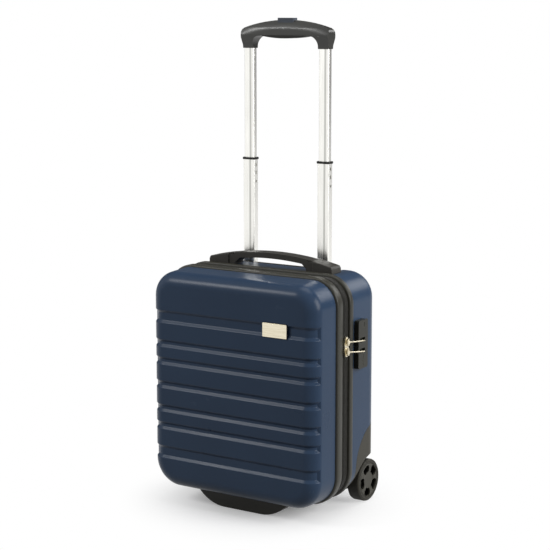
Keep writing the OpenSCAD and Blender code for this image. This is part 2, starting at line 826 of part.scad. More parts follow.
module grip() color(black) translate([0, at(tube_back), grip_z]) difference() {
    intersection() {
        translate([0, grip_d, 0]) rotate([90, 0, 0])
            linear_extrude(2 * grip_d) grip_outline();
        rotate([90, 0, 90]) translate([0, 0, -grip_w])
            linear_extrude(2 * grip_w) grip_side();
    }
    for (s = [-1, 1]) translate([s * tube_spacing / 2, 0, -1]) {
        linear_extrude(13.5) polygon(rounded(upper_w + fit, upper_d + fit, 2.5));
        cylinder(r = 4, h = bar_z - grip_z + 3);
    }
    translate([-tube_spacing / 2 - 4, -4, bar_z - grip_z - button_travel - clear])
        cube([tube_spacing + 8, 8, 6 + button_travel + 2 * clear]);
    translate([-button_w / 2 - clear, -button_d / 2 - clear, bar_z - grip_z])
        cube([button_w + 2 * clear, button_d + 2 * clear, grip_h]);
    translate([-insert_w / 2 - fit, -grip_d, grip_gap - 1])
        cube([insert_w + 2 * fit, 2 * grip_d, 1.8 + fit]);
    translate([0, 0, spring_z - grip_z]) cylinder(r = spring_r + clear, h = 20);
}

// Soft pad in the underside of the bar, fuller at its middle
module grip_insert() color(dark)
    translate([0, at(tube_back) + grip_d / 2 - 0.6, grip_z + grip_gap]) rotate([90, 0, 0])
        linear_extrude(grip_d - 1.2) polygon(concat(
            [[insert_w / 2, 0.8], [-insert_w / 2, 0.8]],
            [for (k = [-8:8]) [insert_w * k / 16, -0.4 - insert_bulge * (1 - pow(k / 8, 2))]]
        ));

module release_button() color("#5a6272")
    translate([0, at(tube_back), bar_z + 4 + fit])
        linear_extrude(grip_top + button_proud - bar_z - 4 - fit)
            polygon(rounded(button_w, button_d, 3));

// Crossbar inside the grip with a rod down each upper tube
module release_rods() color(metal) translate([0, at(tube_back), 0]) {
    translate([-tube_spacing / 2 - 3, -3, bar_z]) cube([tube_spacing + 6, 6, 4]);
    for (s = [-1, 1]) translate([s * tube_spacing / 2, 0, upper_bottom + 6])
        cylinder(r = rod_r, h = bar_z - upper_bottom - 5);
}

module button_spring() color(metal)
    translate([0, at(tube_back), spring_z + clear]) difference() {
        cylinder(r = spring_r, h = bar_z - spring_z - 2 * clear);
        translate([0, 0, -1]) cylinder(r = spring_r - 1, h = 30);
    }

// ---- Carry handle ----

// Points along the handle's arched top between two places, seen from the front
function handle_arc(x0, x1, drop, steps) = [
    for (k = [0:steps]) let (x = x0 + (x1 - x0) * k / steps)
        [x, case_top + handle_h - drop - handle_arc_r + sqrt(pow(handle_arc_r, 2) - pow(x, 2))]
];

module handle_slab(d) {
    translate([0, at(handle_back) + d / 2, 0]) rotate([90, 0, 0]) linear_extrude(d) children();
}

// Arched grip with ribbed ends and a tongue in each block
module carry_grip() color(dark) {
    end = block_in - clear;
    rib_in = end - 13;
    handle_slab(handle_d) difference() {
        polygon(concat(
            handle_arc(-end, end, 0, 20),
            [[end, case_top + 1], [-end, case_top + 1]]
        ));
        polygon(concat(
            handle_arc(-rib_in + 10, rib_in - 10, handle_t, 16),
            [[rib_in - 2, case_top + 6], [rib_in, case_top], [-rib_in, case_top],
                [-rib_in + 2, case_top + 6]]
        ));
        for (m = [0, 1]) mirror([m, 0]) for (k = [0:2])
            translate([rib_in + 2.5 + 4 * k, case_top + handle_h - 9])
                square([1.4, 20]);
    }
    for (m = [0, 1]) mirror([m, 0, 0])
        translate([end - 1, at(handle_back) - tongue_w / 2, tongue_z])
            cube([18, tongue_w, tongue_h]);
}

module handle_block(side) color(dark) {
    outer = handle_w / 2;
    mirror([side > 0 ? 0 : 1, 0, 0]) difference() {
        handle_slab(block_d) polygon(concat(
            [[outer, case_top + fit]], [[block_in, case_top + fit]],
            handle_arc(block_in, outer - 3, 0, 8),
            [[outer - 0.8, case_top + 9.5], [outer, case_top + 7]]
        ));
        translate([block_in - 1, at(handle_back) - tongue_w / 2 - clear, tongue_z - clear])
            cube([18.5, tongue_w + 2 * clear, tongue_h + handle_lift + 2 * clear]);
    }
}

module handle_screws() color(metal) both_sides()
    for (x = [block_in + 8, handle_w / 2 - 8])
        translate([x, at(handle_back), case_top - shell_t - 2]) cylinder(r = 3.6, h = 2);

// ---- Lock ----

module lock_body() color(dark) difference() {
    union() {
        translate([half_w, at(lock_back), lock_z]) rotate([90, 0, 90])
            linear_extrude(lock_proud) polygon(rounded(lock_w, lock_h, 4));
        translate([half_w - 9, at(lock_back) - lock_w / 2 + 4 + fit, lock_z - lock_h / 2 + 4 + fit])
            cube([10, lock_w - 8 - 2 * fit, lock_h - 8 - 2 * fit]);
    }
    for (k = [-1, 0, 1])
        translate([dial_x, at(lock_back), dial_mid + k * dial_step - dial_h / 2 - clear])
            cylinder(r = dial_r + clear, h = dial_h + 2 * clear);
    translate([dial_x, at(lock_back), dial_mid - 1.5 * dial_step - 3])
        cylinder(r = 1.5, h = 3 * dial_step + 6);
    for (z = slot_z)
        translate([lock_face - 5, at(lock_back) - 12, z - 2]) cube([6, slot_len, slot_h]);
    x_cylinder(key_r + running, half_w + 1, lock_face + 1, lock_back + 3, key_z);
}

module key_cylinder() color(metal) difference() {
    x_cylinder(key_r, half_w + 1 + fit, lock_face - 0.1, lock_back + 3, key_z);
    translate([lock_face - 4, at(lock_back + 3) - 0.7, key_z - key_r + 1.5])
        cube([6, 1.4, 2 * key_r - 3]);
}

// A number dial with grip notches round its edge
module lock_dial(k) color(metal)
    translate([dial_x, at(lock_back), dial_mid + k * dial_step - dial_h / 2]) difference() {
        cylinder(r = dial_r, h = dial_h);
        translate([0, 0, -1]) cylinder(r = 1.5 + running, h = dial_h + 2);
        for (a = [0:36:324]) rotate([0, 0, a])
            translate([dial_r, -0.4, -1]) cube([0.5, 0.8, dial_h + 2], center = false);
    }

module dial_pin() color(metal)
    translate([dial_x, at(lock_back), dial_mid - 1.5 * dial_step - 2.8])
        cylinder(r = 1.5, h = 3 * dial_step + 5.6);

// ---- Zip sliders ----

// Slider body with two lugs that hold the pull's pin; its wide end points along up
module zip_slider(i, up) color(champagne) {
    h = slider_h / 2;
    w = slider_w / 2;
    translate([tape_face + clear + 0.8, at(zip_mid), slider_z[i]]) {
        rotate([90, 0, 90]) linear_extrude(slider_t - 0.8) polygon([
            [-w, up * h * 0.5], [-w + 1.5, up * h], [w - 1.5, up * h], [w, up * h * 0.5],
            [w * 0.6, -up * h * 0.6], [w * 0.35, -up * h], [-w * 0.35, -up * h],
            [-w * 0.6, -up * h * 0.6]
        ]);
    }
    for (s = [-1, 1]) translate([slider_face - 0.5, at(zip_mid) - 2, slider_z[i] + s * 5 - 1])
        cube([pin_x - slider_face + 1.5, 4, 2]);
    translate([pin_x, at(zip_mid), slider_z[i] - 5]) cylinder(r = pin_r, h = 10);
}

// Bowed wire from its eye on the slider's pin down to a tip over the lock's slot
module zip_pull(i) color(champagne) {
    bow_r = (pow(pull_len / 2, 2) + pow(pull_bow, 2)) / (2 * pull_bow);
    half_angle = asin(pull_len / 2 / bow_r);
    tip_x = lock_face + clear + wire_r;
    lean = atan((tip_x - pin_x) / pull_len);
    drop = asin((slider_z[i] - slot_z[i]) / pull_len);
    translate([pin_x, at(zip_mid), slider_z[i]]) difference() {
        union() {
            translate([0, 0, -3]) cylinder(r = eye_r, h = 6);
            rotate([-drop, 0, 0]) rotate([0, 0, -lean]) {
                translate([pull_bow - bow_r, pull_len / 2, 0])
                    rotate([0, 0, -half_angle]) rotate_extrude(angle = 2 * half_angle)
                        translate([bow_r, 0]) circle(r = wire_r);
                translate([0, pull_len, 0]) sphere(r = wire_r);
            }
        }
        translate([0, 0, -4]) cylinder(r = pin_r + running, h = 8);
    }
}

// ---- Wheels ----

// A wheel's own frame: z runs along the axle from the wheel's inner face outwards
module wheel_frame(side) {
    translate([side * wheel_x, at(axle_back), wheel_r]) rotate([0, side * 90, 0]) children();
}

// A corner moulding with an arched well for the wheel and a bracket for the axle
module wheel_housing(side) color(black) mirror([side > 0 ? 0 : 1, 0, 0]) {
    well_x = plate_x + bracket_t;
    out = half_w + 5;
    difference() {
        union() {
            difference() {
                intersection() {
                    rear_moulding(0);
                    housing_zone(0, 0);
                }
                intersection() {
                    rear_moulding(housing_t);
                    housing_zone(-housing_t, -housing_t);
                }
            }
            intersection() {
                rear_moulding(0);
                x_cylinder(arch_r + housing_t, well_x - housing_t, out, arch_back, arch_z);
            }
            axle_bracket();
        }
        x_cylinder(arch_r, well_x, out, arch_back, arch_z);
        x_cylinder(axle_r + 0.01, plate_x - 5, out, axle_back, wheel_r);
        x_cylinder(axle_r + 2.5, plate_x - 5, plate_x + 2, axle_back, wheel_r);
    }
    difference() {
        x_cylinder(9, well_x, wheel_x - clear, axle_back, wheel_r);
        x_cylinder(axle_r + 0.01, plate_x - 5, out, axle_back, wheel_r);
    }
}

// Plate from the shell's corner round the axle
module axle_bracket() {
    rise = bracket_r + 36;
    translate([plate_x, at(axle_back), wheel_r]) rotate([90, 0, 90])
        linear_extrude(bracket_t) {
            circle(r = bracket_r);
            polygon([[0, -bracket_r], [bracket_r, 0], [axle_inset, rise], [-rise, rise],
                [-rise, case_bottom - wheel_r]]);
        }
}

module housing_screws() color(metal) both_sides()
    for (z = [screw_low, screw_high])
        x_cylinder(4, plate_x - 2, plate_x, axle_back - screw_front, z);

module axle(side) color(metal)
    mirror([side > 0 ? 0 : 1, 0, 0]) {
        x_cylinder(axle_r, plate_x + 0.3, wheel_x + bush_len - 0.5, axle_back, wheel_r);
        x_cylinder(axle_r + 2.3, plate_x + 0.3, plate_x + 1.9, axle_back, wheel_r);
    }

// Wheel centre with five kidney-shaped recesses and a blind bore for its axle
module wheel(side) color(dark) wheel_frame(side) difference() {
    rotate_extrude() polygon([
        [0, wheel_w - 1.6], [rim_r - 13, wheel_w - 1.6], [rim_r - 11, wheel_w - 0.6],
        [rim_r - 1.2, wheel_w - 0.6], [rim_r, wheel_w - 1.6], [rim_r, 1.6], [rim_r - 4, 1.6],
        [rim_r - 5, 6], [12, 8], [9, 6], [9, 0], [0, 0]
    ]);
    for (a = [0:72:288]) rotate([0, 0, a]) translate([0, 0, wheel_w - 11]) kidney(20);
    translate([0, 0, -1]) cylinder(r = axle_r + running, h = bush_len + 1);
}

// A kidney-shaped prism near the rim, in the direction of +x
module kidney(h) {
    mid = rim_r - 7.6;
    half = 5.4;
    bend = 19;
    linear_extrude(h) {
        difference() {
            circle(r = mid + half);
            circle(r = mid - half);
            for (s = [-1, 1])
                polygon([[0, 0], [60 * cos(bend), s * 60 * sin(bend)], [0, s * 90], [-60, s * 60],
                    [-60, 0]]);
        }
        for (s = [-1, 1])
            translate([mid * cos(bend), s * mid * sin(bend)]) circle(r = half);
    }
}

module tyre(side) color(black) wheel_frame(side) rotate_extrude() polygon([
    [rim_r, 1], [rim_r + 4, 0.3], [wheel_r - 2.2, 0.6], [wheel_r - 0.7, 1.8], [wheel_r, 4],
    [wheel_r, wheel_w - 4], [wheel_r - 0.7, wheel_w - 1.8], [wheel_r - 2.2, wheel_w - 0.6],
    [rim_r + 4, wheel_w - 0.3], [rim_r, wheel_w - 1]
]);

rear_shell();
rear_trim();
rear_zip_tape();
rear_lining();
tube_panel();
hinge_tape();
front_shell();
front_trim();
front_zip_tape();
front_lining();
mesh_pocket();
badge_base();
badge_plate();
front_foot();
foot_screws();
upper_straps();
lower_straps();
buckle_socket();
buckle_plug();
trolley_bezel();
fixed_tube(-1);  // fixed_tube_left
fixed_tube(1);  // fixed_tube_right
trolley_base();
lower_tube(-1);  // lower_tube_left
lower_tube(1);  // lower_tube_right
collar(-1);  // collar_left
collar(1);  // collar_right
lower_glides();
upper_tube(-1);  // upper_tube_left
upper_tube(1);  // upper_tube_right
upper_glides();
grip();
grip_insert();
release_button();
release_rods();
button_spring();
carry_grip();
handle_block(-1);  // handle_block_left
handle_block(1);  // handle_block_right
handle_screws();
lock_body();
key_cylinder();
lock_dial(1);  // lock_dial_1
lock_dial(0);  // lock_dial_2
lock_dial(-1);  // lock_dial_3
dial_pin();
zip_slider(0, -1);  // zip_slider_upper
zip_pull(0);  // zip_pull_upper
zip_slider(1, 1);  // zip_slider_lower
zip_pull(1);  // zip_pull_lower
wheel_housing(-1);  // wheel_housing_left
wheel_housing(1);  // wheel_housing_right
housing_screws();
axle(-1);  // axle_left
axle(1);  // axle_right
wheel(-1);  // wheel_left
wheel(1);  // wheel_right
tyre(-1);  // tyre_left
tyre(1);  // tyre_right
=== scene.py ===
import bpy
import bmesh
import json
import numpy as np
from math import cos, radians, sin, tan
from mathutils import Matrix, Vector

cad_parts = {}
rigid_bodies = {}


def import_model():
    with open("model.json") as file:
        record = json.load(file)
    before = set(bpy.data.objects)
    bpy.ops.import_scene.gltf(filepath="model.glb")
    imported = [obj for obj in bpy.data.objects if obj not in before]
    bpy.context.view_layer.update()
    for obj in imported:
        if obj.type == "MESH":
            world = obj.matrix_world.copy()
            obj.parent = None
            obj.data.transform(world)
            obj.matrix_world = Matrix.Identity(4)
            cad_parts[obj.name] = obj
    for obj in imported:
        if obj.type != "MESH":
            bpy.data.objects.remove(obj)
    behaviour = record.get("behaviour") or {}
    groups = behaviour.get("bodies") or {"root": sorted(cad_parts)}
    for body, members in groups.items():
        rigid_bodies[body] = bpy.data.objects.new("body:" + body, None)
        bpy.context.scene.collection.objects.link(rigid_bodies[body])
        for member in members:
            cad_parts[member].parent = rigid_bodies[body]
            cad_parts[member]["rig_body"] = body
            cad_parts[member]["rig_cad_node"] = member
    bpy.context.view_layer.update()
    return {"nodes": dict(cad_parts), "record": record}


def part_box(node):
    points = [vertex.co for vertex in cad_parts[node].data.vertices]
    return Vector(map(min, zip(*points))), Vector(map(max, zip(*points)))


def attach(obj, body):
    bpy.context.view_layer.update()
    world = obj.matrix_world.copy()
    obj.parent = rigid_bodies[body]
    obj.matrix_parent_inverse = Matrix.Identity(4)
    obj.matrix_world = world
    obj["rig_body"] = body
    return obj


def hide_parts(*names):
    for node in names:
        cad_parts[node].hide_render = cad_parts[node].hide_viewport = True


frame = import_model()
scene = bpy.context.scene
scene.view_settings.view_transform = "Standard"


# ---- Studio ----
# A long lens in front of the lid and a little above it. The floor is white and keeps the case's
# shadow. A large soft box stands on the lock's side, a small one in front on the left, and weak ones
# overhead and behind, in a white room with a dark curtain at its end.
MM = 0.001

camera = bpy.data.objects.new("camera", bpy.data.cameras.new("camera"))
scene.collection.objects.link(camera)
camera.location = (1.51544, -2.34756, 0.87827)
camera.rotation_euler = (radians(90 - 8.649), 0, radians(32.624))
camera.data.lens = 104.828
camera.data.sensor_width = 36
camera.data.shift_y = -0.04545
scene.camera = camera


def soft_box(name, place, target, size, power):
    """Rectangular area lamp at place, turned so that its -Z axis points to target: it tilts by the
    angle between straight down and the target, and turns by the target's bearing."""
    lamp = bpy.data.lights.new(name, "AREA")
    lamp.shape = "RECTANGLE"
    lamp.size, lamp.size_y = size
    lamp.energy = power
    obj = bpy.data.objects.new(name, lamp)
    scene.collection.objects.link(obj)
    obj.location = place
    away = np.array(target, float) - np.array(obj.location)
    tilt = np.arctan2(np.hypot(away[0], away[1]), -away[2])
    obj.rotation_euler = (tilt, 0, np.arctan2(-away[0], away[1]))


soft_box("side_box", (3.4, 0.5, 1.7), (0, 0, 0.35), (1.8, 2.2), 98)
soft_box("key_box", (-1.5, -1.75, 1.95), (0, 0, 0.3), (0.7, 0.7), 24)
soft_box("top_box", (0.2, 0.5, 3.1), (0, 0, 0.3), (1.6, 1.6), 21)
soft_box("back_box", (1.5, 3.4, 2.2), (0, 0, 0.35), (2.0, 1.6), 42)


def feed(tree, value, socket):
    """Sets a socket to a number, or links another socket to it."""
    if isinstance(value, (int, float)):
        socket.default_value = value
    else:
        tree.links.new(value, socket)


def work_out(tree, kind, a, b=0.0):
    """Math node of the given kind on two sockets or numbers."""
    node = tree.nodes.new("ShaderNodeMath")
    node.operation = kind
    feed(tree, a, node.inputs[0])
    feed(tree, b, node.inputs[1])
    return node.outputs[0]


def ramp(tree, source, low, high, to_low=0.0, to_high=1.0, kind="LINEAR"):
    """Maps source from low..high to to_low..to_high and clamps it."""
    node = tree.nodes.new("ShaderNodeMapRange")
    node.interpolation_type = kind
    tree.links.new(source, node.inputs["Value"])
    for label, value in (("From Min", low), ("From Max", high), ("To Min", to_low), ("To Max", to_high)):
        feed(tree, value, node.inputs[label])
    return node.outputs["Result"]


def seen_directly(tree, rays):
    """1 for camera, glossy and transmission rays and 0 for diffuse light: their largest value."""
    sharp = work_out(tree, "MAXIMUM", rays.outputs["Is Camera Ray"], rays.outputs["Is Glossy Ray"])
    return work_out(tree, "MAXIMUM", sharp, rays.outputs["Is Transmission Ray"])


def blend_shaders(tree, amount, first, second, out):
    """Sends the shader between first and second, by amount, to the output node."""
    node = tree.nodes.new("ShaderNodeMixShader")
    tree.links.new(amount, node.inputs["Fac"])
    tree.links.new(first.outputs[0], node.inputs[1])
    tree.links.new(second.outputs[0], node.inputs[2])
    tree.links.new(node.outputs[0], out.inputs["Surface"])


world = bpy.data.worlds.new("studio")
scene.world = world
world.use_nodes = True
room = world.node_tree
room.nodes.clear()
room_rays = room.nodes.new("ShaderNodeLightPath")
room_places = room.nodes.new("ShaderNodeTexCoord")
room_axes = room.nodes.new("ShaderNodeSeparateXYZ")
room.links.new(room_places.outputs["Generated"], room_axes.inputs[0])
# Only reflections see the curtain, which hangs where the direction points to +Y and not straight up
curtain = work_out(room, "MULTIPLY", ramp(room, room_axes.outputs["Y"], -0.1, 0.25),
                   ramp(room, room_axes.outputs["Z"], 1.0, 0.88))
curtain = work_out(room, "MULTIPLY", curtain, room_rays.outputs["Is Glossy Ray"])
room_fill = room.nodes.new("ShaderNodeBackground")
room_fill.inputs["Color"].default_value = (0.98, 0.99, 1.0, 1)
room_fill.inputs["Strength"].default_value = 0.16
room_white = room.nodes.new("ShaderNodeBackground")
room_white.inputs["Color"].default_value = (1, 1, 1, 1)
room.links.new(ramp(room, curtain, 0, 1, 1.0, 0.15), room_white.inputs["Strength"])
blend_shaders(room, seen_directly(room, room_rays), room_fill, room_white,
              room.nodes.new("ShaderNodeOutputWorld"))


def mesh_object(name, points, faces):
    """Mesh from an array of points in millimetres and a list of faces."""
    mesh = bpy.data.meshes.new(name)
    mesh.from_pydata((np.asarray(points, float) * MM).tolist(), [], faces)
    mesh.update()
    obj = bpy.data.objects.new(name, mesh)
    scene.collection.objects.link(obj)
    return obj


floor_half = 6000
floor = mesh_object("floor", floor_half * np.array([(-1, -1, 0), (1, -1, 0), (1, 1, 0), (-1, 1, 0)]),
                    [[0, 1, 2, 3]])
floor_paint = bpy.data.materials.new("studio_floor")
floor_paint.use_nodes = True
ground = floor_paint.node_tree
ground.nodes.clear()
# Near the case the floor takes light and shadow, and further out it turns to plain white. It
# throws little light back, as a studio's floor does with black flags beside it.
seen = seen_directly(ground, ground.nodes.new("ShaderNodeLightPath"))
ground_matt = ground.nodes.new("ShaderNodeBsdfDiffuse")
ground.links.new(ramp(ground, seen, 0, 1, 0.08, 0.98), ground_matt.inputs["Color"])
ground_lift = ground.nodes.new("ShaderNodeEmission")
ground.links.new(work_out(ground, "MULTIPLY", seen, 0.12), ground_lift.inputs["Strength"])
ground_near = ground.nodes.new("ShaderNodeAddShader")
ground.links.new(ground_matt.outputs[0], ground_near.inputs[0])
ground.links.new(ground_lift.outputs[0], ground_near.inputs[1])
ground_places = ground.nodes.new("ShaderNodeTexCoord")
ground_reach = ground.nodes.new("ShaderNodeVectorMath")
ground_reach.operation = "LENGTH"
ground.links.new(ground_places.outputs["Object"], ground_reach.inputs[0])
ground_far = ramp(ground, ground_reach.outputs["Value"], 0.04, 0.28, kind="SMOOTHSTEP")
blend_shaders(ground, work_out(ground, "MULTIPLY", ground_far, seen), ground_near,
              ground.nodes.new("ShaderNodeEmission"), ground.nodes.new("ShaderNodeOutputMaterial"))
floor.data.materials.append(floor_paint)


# ---- Front shell ----
# Thermoformed navy polycarbonate sheet, drawn over a mould with seven channels that run across its
# face and round both upright edges. It is trimmed at the rim and held by the front trim.
shell_low, shell_high = (np.round(np.array(v) / MM, 1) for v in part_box("front_shell"))
half_w, case_bottom, case_top = shell_high[0], shell_low[2], shell_high[2]
rim_y, shell_depth = shell_high[1], shell_high[1] - shell_low[1]
top_r, bottom_r, edge_r = 46.0, 53.0, 25.0
draft = radians(2.6)
sheet_wall = 3.0
# height of each channel's middle, and width of its mouth
channels = [(93.8, 23), (141.7, 14), (173.5, 14), (216.3, 14), (259.1, 14), (290.9, 14), (338.8, 23)]
channel_d, channel_slope, channel_round = 3.7, 5.0, 0.5
channel_end, least_cut = radians(77), 0.003


def group(name, inputs, outputs):
    """Empty shader node group with float inputs (name, default) and named float outputs."""
    tree = bpy.data.node_groups.new(name, "ShaderNodeTree")
    for label, value in inputs:
        socket = tree.interface.new_socket(label, in_out="INPUT", socket_type="NodeSocketFloat")
        socket.default_value = value
    for label in outputs:
        tree.interface.new_socket(label, in_out="OUTPUT", socket_type="NodeSocketFloat")
    return tree, tree.nodes.new("NodeGroupInput"), tree.nodes.new("NodeGroupOutput")


def noise(tree, coords, scale, detail=3, rough=0.5):
    """Noise texture on the given coordinates; scale is a number or a socket."""
    node = tree.nodes.new("ShaderNodeTexNoise")
    node.inputs["Detail"].default_value = detail
    node.inputs["Roughness"].default_value = rough
    tree.links.new(coords, node.inputs["Vector"])
    feed(tree, scale, node.inputs["Scale"])
    return node.outputs["Fac"]


# Grain: height of a pebbled mould surface, and a slow cloud for tone and polish
grain, grain_in, grain_out = group(
    "moulded_grain", [("Scale", 900.0), ("Cloud scale", 14.0)], ["Height", "Cloud"])
grain_places = grain.nodes.new("ShaderNodeTexCoord").outputs["Object"]
pebbles = grain.nodes.new("ShaderNodeTexVoronoi")
pebbles.feature = "SMOOTH_F1"
grain.links.new(grain_places, pebbles.inputs["Vector"])
grain.links.new(grain_in.outputs["Scale"], pebbles.inputs["Scale"])
pebble_noise = noise(grain, grain_places, grain_in.outputs["Scale"], 2)
grain.links.new(work_out(grain, "ADD", pebbles.outputs["Distance"], pebble_noise),
                grain_out.inputs["Height"])
grain.links.new(noise(grain, grain_places, grain_in.outputs["Cloud scale"], 4),
                grain_out.inputs["Cloud"])

# Edges: a mask along sharp edges, broken up by noise, from the difference between the true normal
# and one that is rounded over a given radius. It paints wear on most plastics, a painted highlight on
# the trims and painted shade along the tubes' edges.
edge_wear_and_light, edge_in, edge_out = group("edge_wear_and_light", [("Radius", 0.0012), ("Breakup", 120.0)], ["Mask"])
rounded = edge_wear_and_light.nodes.new("ShaderNodeBevel")
rounded.samples = 4
edge_wear_and_light.links.new(edge_in.outputs["Radius"], rounded.inputs["Radius"])
agree = edge_wear_and_light.nodes.new("ShaderNodeVectorMath")
agree.operation = "DOT_PRODUCT"
edge_wear_and_light.links.new(rounded.outputs[0], agree.inputs[0])
edge_wear_and_light.links.new(edge_wear_and_light.nodes.new("ShaderNodeNewGeometry").outputs["Normal"], agree.inputs[1])
edge_breakup = noise(edge_wear_and_light, edge_wear_and_light.nodes.new("ShaderNodeTexCoord").outputs["Object"],
                   edge_in.outputs["Breakup"], 4, 0.6)
edge_wear_and_light.links.new(work_out(edge_wear_and_light, "MULTIPLY", ramp(edge_wear_and_light, agree.outputs["Value"], 0.985, 0.86),
                             ramp(edge_wear_and_light, edge_breakup, 0.42, 0.62)), edge_out.inputs["Mask"])

# Scuffs: faint short scratches that lie across the surface, in patches
scuffs, scuffs_in, scuffs_out = group("scuffs", [("Scale", 30.0)], ["Mask"])
scuff_places = scuffs.nodes.new("ShaderNodeTexCoord").outputs["Object"]
scuff_map = scuffs.nodes.new("ShaderNodeMapping")
scuff_map.inputs["Rotation"].default_value = (0.3, 0.5, 0.7)
scuff_map.inputs["Scale"].default_value = (1, 14, 2)
scuffs.links.new(scuff_places, scuff_map.inputs["Vector"])
scratches = ramp(scuffs, noise(scuffs, scuff_map.outputs[0], scuffs_in.outputs["Scale"], 2), 0.66, 0.72)
scuffs.links.new(work_out(scuffs, "MULTIPLY", scratches,
                          ramp(scuffs, noise(scuffs, scuff_places, 9, 2), 0.5, 0.62)),
                 scuffs_out.inputs["Mask"])


def srgb(r, g, b):
    """Scene colour of an 8-bit display colour: ((c + 0.055) / 1.055) to the power 2.4."""
    c = np.array([r, g, b]) / 255
    return tuple(np.where(c > 0.04045, ((c + 0.055) / 1.055) ** 2.4, c / 12.92)) + (1.0,)


def material(name):
    """New material; returns it with its tree and its Principled shader."""
    mat = bpy.data.materials.new(name)
    mat.use_nodes = True
    return mat, mat.node_tree, mat.node_tree.nodes["Principled BSDF"]


def colour_mix(tree, amount, a, b):
    """Colour between a and b by amount; a and b are colours or sockets."""
    node = tree.nodes.new("ShaderNodeMix")
    node.data_type = "RGBA"
    tree.links.new(amount, node.inputs["Factor"])
    for label, value in (("A", a), ("B", b)):
        socket = next(s for s in node.inputs if s.name == label and s.type == "RGBA")
        if isinstance(value, tuple):
            socket.default_value = value
        else:
            tree.links.new(value, socket)
    return next(s for s in node.outputs if s.type == "RGBA")


def use(tree, node_group, **values):
    """Group node in tree, with its inputs set."""
    node = tree.nodes.new("ShaderNodeGroup")
    node.node_tree = node_group
    for label, value in values.items():
        node.inputs[label.replace("_", " ")].default_value = value
    return node


def raise_surface(tree, shader, height, strength, distance):
    """Feeds a bump of the given height socket to the shader's normal."""
    bump = tree.nodes.new("ShaderNodeBump")
    bump.inputs["Strength"].default_value = strength
    bump.inputs["Distance"].default_value = distance
    tree.links.new(height, bump.inputs["Height"])
    tree.links.new(bump.outputs[0], shader.inputs["Normal"])


def plastic(name, dark, light, wear_and_highlight_tone, polish, pebble=900.0, relief=0.12, wear_and_highlight=0.5, shine=0.25,
            cloud=14.0):
    """Moulded plastic: tone between dark and light by a slow cloud, paler along edges by wear and by a
    painted highlight on the trims, polish as (low, high) roughness, and a bump of the grain."""
    mat, tree, shader = material(name)
    skin = use(tree, grain, Scale=pebble, Cloud_scale=cloud)
    worn_and_lit_edges = work_out(tree, "MULTIPLY", use(tree, edge_wear_and_light).outputs["Mask"], wear_and_highlight)
    marks = use(tree, scuffs).outputs["Mask"]
    colour = colour_mix(tree, ramp(tree, skin.outputs["Cloud"], 0.3, 0.7), dark, light)
    colour = colour_mix(tree, worn_and_lit_edges, colour, wear_and_highlight_tone)
    colour = colour_mix(tree, work_out(tree, "MULTIPLY", marks, 0.16), colour, wear_and_highlight_tone)
    tree.links.new(colour, shader.inputs["Base Color"])
    rough = ramp(tree, skin.outputs["Cloud"], 0.25, 0.75, polish[0], polish[1])
    rough = work_out(tree, "ADD", rough, work_out(tree, "MULTIPLY", marks, 0.12))
    tree.links.new(rough, shader.inputs["Roughness"])
    raise_surface(tree, shader, skin.outputs["Height"], relief, 0.0002)
    shader.inputs["Specular IOR Level"].default_value = shine
    return mat


def flat_inset(depth, r, a):
    """How far a moulding's flat face lies inside its rim: r cos a + (depth - r + r sin a) tan a."""
    return r * cos(a) + (depth - r + r * sin(a)) * tan(a)


def edge_curve(depth, r, a, turn):
    """Points (inset, depth) and surface angle from the rim to the flat face: a straight drafted
    side, then an arc of radius r sampled at the angles in turn, measured from the face."""
    centre = flat_inset(depth, r, a), depth - r
    side = np.linspace(0, 1, 5)[:-1]
    foot = centre[0] - r * cos(a), centre[1] + r * sin(a)
    inset = np.concatenate([side * foot[0], centre[0] - r * np.sin(turn)])
    deep = np.concatenate([side * foot[1], centre[1] + r * np.cos(turn)])
    angle = np.concatenate([0 * side + np.pi / 2 - a, turn])
    return inset, deep, angle


def smooth_min(a, b, k):
    """Minimum of a and b with its corner rounded over k."""
    h = np.clip(0.5 + 0.5 * (b - a) / k, 0, 1)
    return b * (1 - h) + a * h - k * h * (1 - h)


def channel_depth(z):
    """Depth of the channels at height z: sloping walls and a floor, with rounded lips and corners."""
    total = np.zeros_like(z)
    for middle, mouth in channels:
        wall = (mouth / 2 - np.abs(z - middle)) * channel_d / channel_slope
        wall = smooth_min(wall, channel_d, channel_round)
        total = np.maximum(total, -smooth_min(-wall, 0, channel_round))
    return np.where(total > least_cut, total, 0)


def channel_cut(z, angle):
    """Depth of the channels over heights z (rows) and edge angles (columns): the lesser, rounded, of
    the channel's depth and of an end wall that slopes up to the angle channel_end."""
    rows = channel_depth(z)[:, None]
    end = np.clip(channel_end - angle, -0.1, 1) * edge_r * channel_d / channel_slope
    return np.where(rows > 0, np.maximum(smooth_min(rows, end[None, :], channel_round), 0), 0)


def grid(x, y, z):
    """Grid of points from three arrays that are spread over each other."""
    return np.stack(np.broadcast_arrays(x, y, z), -1)


